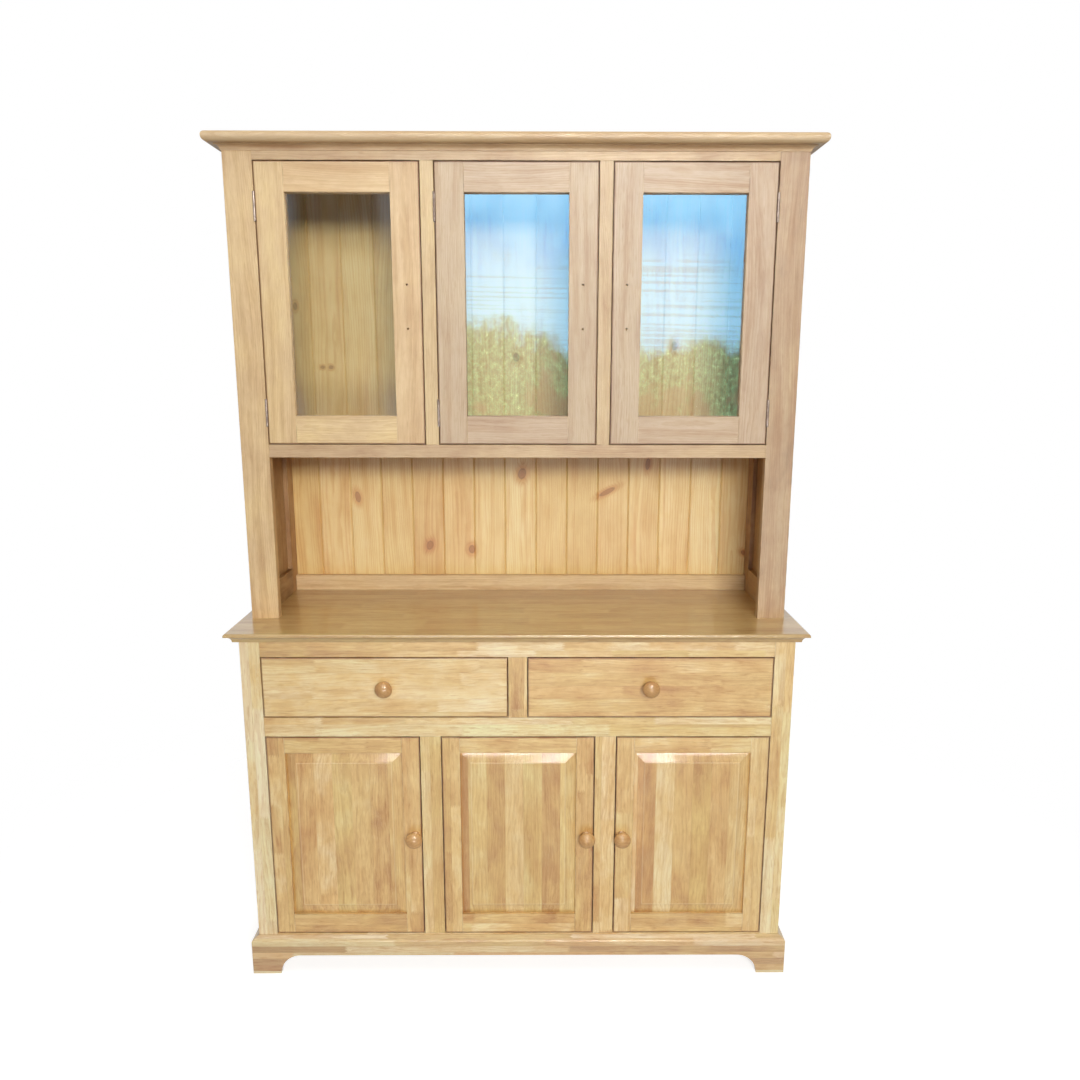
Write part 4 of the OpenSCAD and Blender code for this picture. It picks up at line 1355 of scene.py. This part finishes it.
class Ironmonger:
    """Sets screws, nails and magnets, one mesh for each body."""

    def __init__(self, workshop: Workshop) -> None:
        """Takes the maker of materials and builds the tree."""
        self.workshop = workshop
        self.heads = HeadTree()

    def fit(self, name: str, fixings: Sequence[Fixing], head: Head, body: str) -> bpy.types.Object:
        """Makes the heads of one kind on one body.

        Args:
            name: The piece's name.
            fixings: Where the heads sit.
            head: Their shape.
            body: The body that they ride on.

        Returns:
            The piece.
        """
        mesh = bpy.data.meshes.new(name)
        mesh.from_pydata([f.place for f in fixings], [], [])
        facing = mesh.attributes.new("facing", "FLOAT_VECTOR", "POINT")
        facing.data.foreach_set("vector", [number for f in fixings for number in f.facing])
        piece = link_object(name, mesh)
        modifier = piece.modifiers.new("heads", "NODES")
        modifier.node_group = self.heads.tree
        values = {
            "Radius": head.radius,
            "Depth": head.depth,
            "Proud": head.proud,
            "Recess": head.recess,
            "Has recess": head.recess > 0,
            "Metal": self.workshop.material(Slot.HINGE_STEEL),
        }
        for key, value in values.items():
            modifier[self.heads.identifiers[key]] = value
        settle(piece)
        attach(piece, body)
        log.info("%s: %d heads, %d faces", name, len(fixings), len(piece.data.polygons))
        return piece


@dataclass
class SubAssembly:
    """CAD nodes that one of the maker's drawings would show together."""

    def parts(self) -> list[Part]:
        """The nodes and how each is dressed."""
        raise NotImplementedError

    def fittings(self, ironmonger: Ironmonger) -> None:
        """Small fixings, where the sub-assembly has some."""

    def build(self, joiner: Joiner, ironmonger: Ironmonger) -> None:
        """Dresses every part and sets the fixings.

        Args:
            joiner: Who dresses the parts.
            ironmonger: Who sets the fixings.
        """
        log.info("building %s", type(self).__name__)
        for part in self.parts():
            joiner.dress(part)
        self.fittings(ironmonger)


@dataclass
class BaseCabinet(SubAssembly):
    """Posts, rails and sides of the base, with what it holds inside."""

    arris: float = 0.7 * MM
    inner_arris: float = 0.5 * MM

    def parts(self) -> list[Part]:
        """The outer frame in golden wood, the inside in plainer wood.

        Returns:
            Each node and how it is dressed.
        """
        outer = {
            "base_posts": -0.34, "base_front_rails": -0.08, "base_uprights": 0.0,
            "base_side_rails": -0.1, "base_side_panels": 0.05,
        }
        inner = (
            "base_rear_rails", "base_floor", "base_partitions", "base_shelves",
            "drawer_runners", "drawer_kickers",
        )
        return [
            *(Part(node, Slot.BASE_WOOD, self.arris, tone, block=0.26) for node, tone in outer.items()),
            *(Part(node, Slot.INNER_WOOD, self.inner_arris) for node in inner),
            Part("shelf_pins", Slot.HINGE_STEEL, 0.0),
        ]


@dataclass
class Counter(SubAssembly):
    """The counter with its rounded nose."""

    arris: float = 0.6 * MM

    def parts(self) -> list[Part]:
        """The one board."""
        return [Part("countertop", Slot.COUNTER_WOOD, self.arris, tone=0.2)]


@dataclass
class Plinth(SubAssembly):
    """The mitred plinth with its arches."""

    arris: float = 0.7 * MM
    stave: float = 17 * MM

    def parts(self) -> list[Part]:
        """Front and sides.

        Returns:
            Each node and how it is dressed.
        """
        return [
            Part(
                node, Slot.BASE_WOOD, self.arris, tone=0.05, bleach_and_sheen=0.3,
                stave=self.stave, block=0.4, variety=1.9,
            )
            for node in ("plinth_front", "plinth_sides")
        ]


@dataclass
class Rack(SubAssembly):
    """Frame, sides and floor of the glazed rack."""

    arris: float = 0.7 * MM

    def parts(self) -> list[Part]:
        """Every oak part that doesn't move.

        Returns:
            Each node and how it is dressed.
        """
        tones = {
            "rack_front_posts": 0.09, "rack_front_rails": 0.14, "rack_uprights": 0.03,
            "rack_floor": 0.1, "rack_back_rails": -0.3,
        }
        # The side frames and panels take darker tones: painted shade for the inside of the open bay
        dark = {"rack_side_frames": 0.3, "rack_side_panels": 0.34}
        return [
            *(
                # The fade paints shade and sheen on the right-hand parts: darker and greyer pink further
                # right
                Part(node, Slot.RACK_OAK, self.arris, tone, bleach_and_sheen=0.2, fade=0.2)
                for node, tone in tones.items()
            ),
            *(Part(node, Slot.RACK_OAK, self.arris, tone) for node, tone in dark.items()),
        ]


@dataclass
class Cornice(SubAssembly):
    """The cornice board and the cove under it."""

    arris: float = 0.4 * MM

    def parts(self) -> list[Part]:
        """Board and moulding.

        Returns:
            Each node and how it is dressed.
        """
        return [
            Part("cornice_board", Slot.RACK_OAK, self.arris, tone=-0.12, bleach_and_sheen=0.4),
            Part("cornice_cove", Slot.RACK_OAK, self.arris, tone=0.05, bleach_and_sheen=0.3),
        ]


@dataclass
class BackBoards(SubAssembly):
    """Tongued and grooved pine boards, nailed to the rails behind them.

    Attributes:
        arris: Width of the softened edges.
        board_n: Boards in each back.
        nail_shares: Where the nails of a row are, as shares of a board's width.
        base_rows: Heights of the base's rows of nails.
        rack_rows: Heights of the rack's rows of nails.
    """

    arris: float = 0.35 * MM
    board_n: int = 15
    nail_shares: tuple[float, ...] = (0.25, 0.75)
    base_rows: tuple[float, ...] = (0.075, 0.645, 0.835)
    rack_rows: tuple[float, ...] = (0.9, 1.29, 1.93)

    def parts(self) -> list[Part]:
        """The two backs.

        Returns:
            Each node and how it is dressed.
        """
        return [
            Part("base_back_boards", Slot.BACK_PINE, self.arris),
            Part("rack_back_boards", Slot.BACK_PINE, self.arris),
        ]

    def fittings(self, ironmonger: Ironmonger) -> None:
        """Two nails through each board at each row.

        Args:
            ironmonger: Who sets them.
        """
        nails = []
        for node, rows in (("base_back_boards", self.base_rows), ("rack_back_boards", self.rack_rows)):
            low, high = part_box(node)
            pitch = (high.x - low.x) / self.board_n
            for board in range(self.board_n):
                for share in self.nail_shares:
                    x = low.x + (board + share) * pitch
                    nails += [Fixing((x, high.y, z), (0.0, 1.0, 0.0)) for z in rows]
        ironmonger.fit("back_board_nails", nails, BOARD_NAIL, "carcass")


@dataclass
class GlazedDoor(SubAssembly):
    """A framed door with one pane, hung on two butt hinges.

    Attributes:
        side: Its place in the row.
        tone: How dark its boards are.
        bleach_and_sheen: How far its boards have gone greyish pink; on the centre and right doors it is
            partly painted sheen.
        arris: Width of the softened edges.
        hinge_h: Height of a hinge.
        leaf_w: Width of a hinge's leaf.
        leaf_clear: Half the room between the leaves of a closed hinge.
        screw_rise: How far the outer screws are from the middle one.
        stagger: How far the screws are off the leaf's middle, as a share of its width.
    """

    side: Side
    tone: float = 0.0
    bleach_and_sheen: float = 0.0
    arris: float = 1.1 * MM
    hinge_h: float = 62 * MM
    leaf_w: float = 18 * MM
    leaf_clear: float = 0.1 * MM
    screw_rise: float = 21 * MM
    stagger: float = 0.18

    def parts(self) -> list[Part]:
        """Frame, pane, beads and the hinges' door leaves.

        Returns:
            Each node and how it is dressed.
        """
        stem = f"glazed_{self.side.value}"
        return [
            Part(f"{stem}_frame", Slot.RACK_OAK, self.arris, self.tone, bleach_and_sheen=self.bleach_and_sheen, rim=True),
            Part(f"{stem}_glass", Slot.GLASS, 0.3 * MM),
            Part(f"{stem}_beads", Slot.RACK_OAK, 0.4 * MM, self.tone + 0.1),
            Part(f"{stem}_hinges", Slot.HINGE_STEEL, 0.0),
        ]

    def screws(self, on_post: bool) -> list[Fixing]:
        """Places of three screws in each of the two leaves.

        Args:
            on_post: Whether the post's leaves are meant, and not the door's.

        Returns:
            Six screws.
        """
        low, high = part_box(f"glazed_{self.side.value}_hinges")
        pin_x = (low.x + high.x) / 2
        into_door = -1.0 if self.side is Side.RIGHT else 1.0
        way = -into_door if on_post else into_door
        x = pin_x + way * self.leaf_clear
        middle_y = high.y - self.leaf_w / 2
        found = []
        for middle_z in (low.z + self.hinge_h / 2, high.z - self.hinge_h / 2):
            for step in (-1, 0, 1):
                y = middle_y + (self.stagger if step else -self.stagger) * self.leaf_w
                found.append(Fixing((x, y, middle_z + step * self.screw_rise), (-way, 0.0, 0.0)))
        return found

    def fittings(self, ironmonger: Ironmonger) -> None:
        """The screws of the door's leaves."""
        name = f"glazed_{self.side.value}_screws"
        ironmonger.fit(name, self.screws(False), LEAF_SCREW, f"glazed_door_{self.side.value}")


@dataclass
class PanelledDoor(SubAssembly):
    """A framed door with a raised and fielded panel and a turned knob."""

    side: Side
    frame_tone: float = 0.0
    panel_tone: float = 0.15
    arris: float = 1.2 * MM
    field_in: float = 33 * MM

    def parts(self) -> list[Part]:
        """Frame, panel, pivots and knob.

        Returns:
            Each node and how it is dressed.
        """
        stem = f"door_{self.side.value}"
        return [
            Part(
                f"{stem}_frame", Slot.BASE_WOOD, self.arris, self.frame_tone,
                block=0.2, variety=0.55, rim=True,
            ),
            Part(
                f"{stem}_panel", Slot.BASE_WOOD, 0.7 * MM, self.panel_tone,
                stave=44 * MM, block=6.0, field=self.field_in, variety=1.15, rim=True, crease=4.0,
            ),
            Part(f"{stem}_pivots", Slot.PIVOT_BRASS, 0.0),
            Part(f"{stem}_knob", Slot.KNOB_WOOD, 0.0),
        ]


@dataclass
class Drawer(SubAssembly):
    """A drawer with dovetailed sides and a turned knob."""

    side: Side
    tone: float = 0.0
    arris: float = 1.2 * MM

    def parts(self) -> list[Part]:
        """Front, box and knob.

        Returns:
            Each node and how it is dressed.
        """
        stem = f"drawer_{self.side.value}"
        return [
            Part(
                f"{stem}_front", Slot.BASE_WOOD, self.arris, self.tone,
                stave=32 * MM, block=0.5, variety=0.3, rim=True,
            ),
            Part(f"{stem}_box", Slot.INNER_WOOD, 0.4 * MM),
            Part(f"{stem}_knob", Slot.KNOB_WOOD, 0.0),
        ]


@dataclass
class Ironmongery(SubAssembly):
    """What holds the doors and ties the rack to the base.

    Attributes:
        doors: The glazed doors, whose hinges' post leaves are screwed to the carcass.
        plate_w: Width of a joining plate.
        plate_reach: How far a plate reaches over the base and the rack.
        hole_in: How far a hole is from a plate's end.
        catch_in: How far a catch's middle is from the door's free edge.
        catch_low: How far its magnet is below the door's top.
        catch_clear: Room between a closed door and its catch.
    """

    doors: list[GlazedDoor] = field(default_factory=list)
    plate_w: float = 32 * MM
    plate_reach: float = 55 * MM
    hole_in: float = 12 * MM
    catch_in: float = 48 * MM
    catch_low: float = 6 * MM
    catch_clear: float = 0.3 * MM

    def magnets(self) -> list[Fixing]:
        """A magnet in the face of each door's catch.

        Returns:
            Six magnets.
        """
        found = []
        for side in Side:
            for stem in ("glazed", "door"):
                low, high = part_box(f"{stem}_{side.value}_frame")
                x = low.x + self.catch_in if side is Side.RIGHT else high.x - self.catch_in
                face = (x, high.y + self.catch_clear, high.z - self.catch_low)
                found.append(Fixing(face, (0.0, -1.0, 0.0)))
        return found

    def parts(self) -> list[Part]:
        """Plates, post leaves and catches.

        Returns:
            Each node and how it is dressed.
        """
        return [
            Part("joining_plates", Slot.HINGE_STEEL, 0.3 * MM),
            Part("hinge_post_leaves", Slot.HINGE_STEEL, 0.0),
            Part("door_catches", Slot.INNER_WOOD, 0.5 * MM),
        ]

    def fittings(self, ironmonger: Ironmonger) -> None:
        """Screws of the leaves and plates, magnets of the catches.

        Args:
            ironmonger: Who sets them.
        """
        leaf_screws = [screw for door in self.doors for screw in door.screws(True)]
        ironmonger.fit("post_leaf_screws", leaf_screws, LEAF_SCREW, "carcass")
        low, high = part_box("joining_plates")
        near = self.plate_reach - self.hole_in
        rises = (low.z + self.hole_in, low.z + near, high.z - near, high.z - self.hole_in)
        plate_screws = [
            Fixing((x, high.y, z), (0.0, 1.0, 0.0))
            for x in (low.x + self.plate_w / 2, high.x - self.plate_w / 2)
            for z in rises
        ]
        ironmonger.fit("joining_plate_screws", plate_screws, PLATE_SCREW, "carcass")
        ironmonger.fit("catch_magnets", self.magnets(), CATCH_MAGNET, "carcass")


SKY_LOW = (0.5, 0.46, 0.44)
SKY_STOPS = (
    (0.0, SKY_LOW),
    (0.24, SKY_LOW),
    (0.55, screen(112, 162, 186)),
    (0.68, screen(104, 158, 188)),
    (0.76, screen(88, 146, 186)),
    (0.86, screen(122, 176, 208)),
)
CLOUD = screen(60, 96, 116)
LEAF_SHADE = screen(38, 62, 52)
LEAF = screen(84, 120, 90)
LEAF_LIT = screen(166, 178, 150)
TWIGS = screen(74, 64, 60)
DIM = screen(26, 30, 20)
DIM_VEIL = screen(50, 60, 64)
DIM_WARM = screen(86, 80, 54)
PANEL_GLEAM = (3.3, 3.2, 3.5)


@dataclass
class SkyCard:
    """What gloss and glass mirror: a dim room at the left, a garden with a hedge and sky at the right.

    Bands are given as the places, in metres up or across the card, where they rise, are full,
    fade and end.

    Attributes:
        left: Its left edge, in metres.
        right: Its right edge, in metres.
        top: Its height, in metres.
        away: Its place before the dresser's middle, in metres.
        gain: How much brighter than white it is.
        sky_top: Height at which the colours of the sky end.
        panel_band: The band that the top bevels of the raised panels mirror.
        dim_band: The brighter band in the dim room.
        slope_band: The band that the plinth's sloped top mirrors.
        spark_rise: Upper and lower ends of the spark that the knobs mirror.
        spark_run: Left and right ends of the spark.
        hedge_band: The band of the garden where the hedge stands.
        cloud_band: The band of the sky that has clouds.
        high_rise: Where the sky turns plain, over what the panes mirror.
        dark_rise: Where it turns dark over that.
    """

    left: float = -2.2
    right: float = 1.6
    top: float = 6.0
    away: float = -4.0
    gain: float = 8.6
    sky_top: float = 3.0
    panel_band: tuple[float, ...] = (0.14, 0.2, 0.4, 0.48)
    dim_band: tuple[float, ...] = (1.2, 1.5, 2.1, 2.45)
    slope_band: tuple[float, ...] = (4.0, 4.2, 5.2, 5.4)
    spark_rise: tuple[float, ...] = (2.84, 2.88, 3.46, 3.5)
    spark_run: tuple[float, ...] = (0.2, 0.24, 1.16, 1.2)
    hedge_band: tuple[float, ...] = (0.24, 0.3, 0.53, 0.585)
    cloud_band: tuple[float, ...] = (0.5, 0.56, 0.7, 0.75)
    high_rise: tuple[float, ...] = (2.68, 2.76)
    dark_rise: tuple[float, ...] = (3.6, 3.64)

    def _garden(self, graph: Graph, x: Value, z: Value) -> Value:
        """The sky with thin clouds over an uneven hedge.

        Args:
            graph: Where the nodes are written.
            x: The place across the card, in metres.
            z: The place up the card, in metres.

        Returns:
            The colour.
        """
        bushes = graph.noise(graph.vector(x, 0.0, z * 0.6), 2.6, 7.0, 0.6)
        rise = z / self.sky_top + (bushes - 0.5) * (z.step(1.0, 1.3) * 0.35)
        sky = graph.ramp(rise, SKY_STOPS)
        cloud = graph.noise(graph.vector(x * 0.5, 0.0, z * 62.0 + x * 1.2), 1.0, 1.0).step(0.52, 0.38)
        sky = graph.mix(cloud * rise.band(*self.cloud_band) * 0.4, sky, CLOUD)
        leaves = graph.noise(graph.vector(x, 3.0, z * 0.8), 30.0, 5.0, 0.75)
        shrubs = graph.noise(graph.vector(x, 5.0, z * 0.6), 3.6, 3.0, 0.6)
        hedge = graph.mix(leaves.step(0.36, 0.66), LEAF_SHADE, LEAF)
        hedge = graph.mix(leaves.step(0.58, 0.7) * shrubs.step(0.46, 0.56) * 0.7, hedge, LEAF_LIT)
        hedge = graph.mix(shrubs.step(0.5, 0.4) * 0.75, hedge, TWIGS)
        return graph.mix(rise.band(*self.hedge_band), sky, hedge)

    def _room(self, graph: Graph, x: Value, z: Value) -> Value:
        """The dim room, greyer towards its sides and warmer half way up.

        Args:
            graph: Where the nodes are written.
            x: The place across the card, in metres.
            z: The place up the card, in metres.

        Returns:
            The colour.
        """
        veil = graph.noise(graph.vector(x * 5.0, 0.0, z * 1.2), 1.0, 3.0, 0.6)
        veil = (veil - 0.45).at_least(0.0) * 2.0 + x.step(-1.08, -0.95) + x.step(-1.5, -1.64)
        room = graph.mix(veil.at_most(1.0), DIM, DIM_VEIL)
        return graph.mix(z.band(*self.dim_band) * 0.8, room, DIM_WARM)

    def build(self) -> None:
        """Makes the card, which nothing but gloss and glass sees."""
        material, graph = new_material("sky_card")
        x, _, z = graph.node("ShaderNodeTexCoord", output="Object").split()
        garden = graph.mix(z.band(*self.panel_band), self._garden(graph, x, z), PANEL_GLEAM)
        in_garden = (x + z.step(0.5, 0.4) * 0.3).step(-0.95, -0.66)
        colour = graph.mix(in_garden, self._room(graph, x, z), garden)
        aloft = z.step(*self.dark_rise)
        for mask, level in (
            (z.step(*self.high_rise), 0.8),
            (aloft, 0.12),
            (aloft * z.band(*self.slope_band), 0.9),
            (z.band(*self.spark_rise) * x.band(*self.spark_run), 8.0),
        ):
            colour = graph.mix(mask, colour, (level, level, level))
        close_material(graph, graph.node("ShaderNodeEmission", inputs={
            "Color": colour, "Strength": self.gain,
        }))
        mesh = bpy.data.meshes.new("sky_card")
        corners = ((self.left, 0.0), (self.right, 0.0), (self.right, self.top), (self.left, self.top))
        mesh.from_pydata([(across, self.away, up) for across, up in corners], [], [range(4)])
        mesh.materials.append(material)
        card = link_object("sky_card", mesh)
        for ray in ("camera", "diffuse", "transmission", "shadow", "volume_scatter"):
            setattr(card, f"visible_{ray}", False)


@dataclass
class Studio:
    """Camera, lamps and floor.

    Attributes:
        eye: Where the camera stands, in metres.
        pitch: How far it looks down, in degrees.
        yaw: How far it looks to the right, in degrees.
        roll: How far it is turned about its own line of sight, in degrees.
        sensor: Width of its sensor, in millimetres.
        lens: Its focal length, in millimetres.
        shift: The photograph's framing, as shares of its width.
        ambient: Level of the light from all round.
        floor_radius: Radius of the floor, in metres.
        floor_fade: Where the floor starts to fade and where it is gone, in metres from the middle.
        floor_grey: How much light the floor gives back.
        floor_white: How much white the floor shows besides its shading.
    """

    eye: tuple[float, float, float] = (0.0505, -2.0478, 1.4795)
    pitch: float = 11.06
    yaw: float = 0.3
    roll: float = 0.09
    sensor: float = 36.0
    lens: float = 28.24
    shift: tuple[float, float] = (-0.0036, -0.0083)
    ambient: float = 0.115
    floor_radius: float = 3.2
    floor_fade: tuple[float, float] = (0.8, 1.9)
    floor_grey: float = 0.6
    floor_white: float = 0.72

    def camera(self) -> None:
        """The photograph's view."""
        data = bpy.data.cameras.new("photo_view")
        data.sensor_width = self.sensor
        data.lens = self.lens
        data.shift_x, data.shift_y = self.shift
        camera = link_object("photo_view", data)
        camera.matrix_world = (
            Matrix.Translation(self.eye)
            @ Matrix.Rotation(-math.radians(self.yaw), 4, "Z")
            @ Matrix.Rotation(math.radians(90 - self.pitch), 4, "X")
            @ Matrix.Rotation(math.radians(self.roll), 4, "Z")
        )
        bpy.context.scene.camera = camera

    @staticmethod
    def lamp(name: str, place: Sequence[float], aim: Sequence[float], size: tuple[float, float],
             power: float) -> None:
        """A soft box that the glass doesn't mirror.

        Args:
            name: Its name.
            place: Where it hangs, in metres.
            aim: What it points at, in metres.
            size: Its width and height, in metres.
            power: Its power, in watts.
        """
        data = bpy.data.lights.new(name, "AREA")
        data.shape = "RECTANGLE"
        data.size, data.size_y = size
        data.energy = power
        lamp = link_object(name, data)
        lamp.location = place
        lamp.rotation_euler = (Vector(aim) - Vector(place)).to_track_quat("-Z", "Y").to_euler()
        lamp.visible_glossy = False

    def lamps(self) -> None:
        """A key from the front right, a softer one over it and weak ones from above and behind."""
        self.lamp("key", place=(0.7, -4.4, 2.3), aim=(0.0, 0.0, 1.1), size=(1.7, 0.6), power=110.0)
        self.lamp("fill", place=(0.6, -4.4, 2.8), aim=(0.0, 0.0, 1.0), size=(1.8, 0.8), power=40.0)
        self.lamp("top", place=(0.0, -1.1, 4.2), aim=(0.0, -0.2, 0.0), size=(2.6, 2.0), power=36.0)
        self.lamp("back", place=(0.4, 4.4, 1.7), aim=(0.0, 0.0, 1.1), size=(2.2, 1.6), power=62.0)

    def world(self) -> None:
        """White where it is seen or mirrored, plain soft light elsewhere."""
        world = bpy.data.worlds.new("studio")
        bpy.context.scene.world = world
        world.use_nodes = True
        graph = Graph(world.node_tree)
        ray = graph.node("ShaderNodeLightPath", output="Is Camera Ray")
        shown = ray.at_least(ray.out("Is Glossy Ray")).at_least(ray.out("Is Transmission Ray"))
        white, soft = (
            graph.node("ShaderNodeBackground", inputs={"Color": WHITE, "Strength": level})
            for level in (1.0, self.ambient)
        )
        both = graph.node("ShaderNodeMixShader", inputs={0: shown, 1: soft, 2: white})
        graph.node("ShaderNodeOutputWorld", inputs={"Surface": both})

    def floor(self) -> None:
        """A pale floor that fades into the white round the dresser."""
        shape = bmesh.new()
        bmesh.ops.create_circle(shape, cap_ends=True, radius=self.floor_radius, segments=FLOOR_SIDES)
        mesh = bpy.data.meshes.new("floor")
        shape.to_mesh(mesh)
        shape.free()
        material, graph = new_material("studio_floor")
        x, y, _ = graph.node("ShaderNodeTexCoord", output="Object").split()
        away = (x * x + y * y).root()
        grey = graph.noise(graph.vector(x, y, 0.0), 3.0, 3.0) * 0.02 + self.floor_grey
        matt = graph.node("ShaderNodeBsdfDiffuse", inputs={"Color": graph.mix(grey, BLACK, WHITE)})
        ray = graph.node("ShaderNodeLightPath", output="Is Camera Ray")
        white = graph.node("ShaderNodeEmission", inputs={"Color": WHITE, "Strength": self.floor_white})
        shown = ray.at_least(ray.out("Is Glossy Ray"))
        glow = graph.node("ShaderNodeMixShader", inputs={0: shown, 2: white})
        paper = graph.node("ShaderNodeAddShader", inputs={0: matt, 1: glow})
        clear = graph.node("ShaderNodeBsdfTransparent")
        close_material(graph, graph.node("ShaderNodeMixShader", inputs={
            0: away.step(*self.floor_fade), 1: paper, 2: clear,
        }))
        mesh.materials.append(material)
        floor = link_object("floor", mesh)

    def build(self) -> None:
        """Sets up the whole studio."""
        self.camera()
        self.lamps()
        self.world()
        self.floor()
        SkyCard().build()
        bpy.context.scene.view_settings.view_transform = "Standard"
        log.info("studio ready")


def main() -> None:
    """Builds the studio and every sub-assembly in order."""
    logging.basicConfig(level=logging.INFO, format="%(name)s: %(message)s")
    Studio().build()
    workshop = Workshop()
    joiner = Joiner(workshop)
    ironmonger = Ironmonger(workshop)
    # The centre and right doors' darker tones and strong greyish pink are partly their own colour, partly
    # painted sheen
    glazed = [
        GlazedDoor(Side.LEFT, tone=-0.1, bleach_and_sheen=0.05),
        GlazedDoor(Side.CENTRE, tone=0.1, bleach_and_sheen=0.65),
        GlazedDoor(Side.RIGHT, tone=0.14, bleach_and_sheen=0.65),
    ]
    assemblies = [
        BaseCabinet(), Counter(), Plinth(), Rack(), Cornice(), BackBoards(), *glazed,
        PanelledDoor(Side.LEFT, frame_tone=0.1, panel_tone=0.08),
        PanelledDoor(Side.CENTRE, frame_tone=0.1, panel_tone=0.2),
        PanelledDoor(Side.RIGHT, frame_tone=0.0, panel_tone=0.04),
        Drawer(Side.LEFT, tone=-0.12),
        Drawer(Side.RIGHT, tone=0.18),
        Ironmongery(glazed),
    ]
    for assembly in assemblies:
        assembly.build(joiner, ironmonger)


if __name__ == "__main__":
    main()
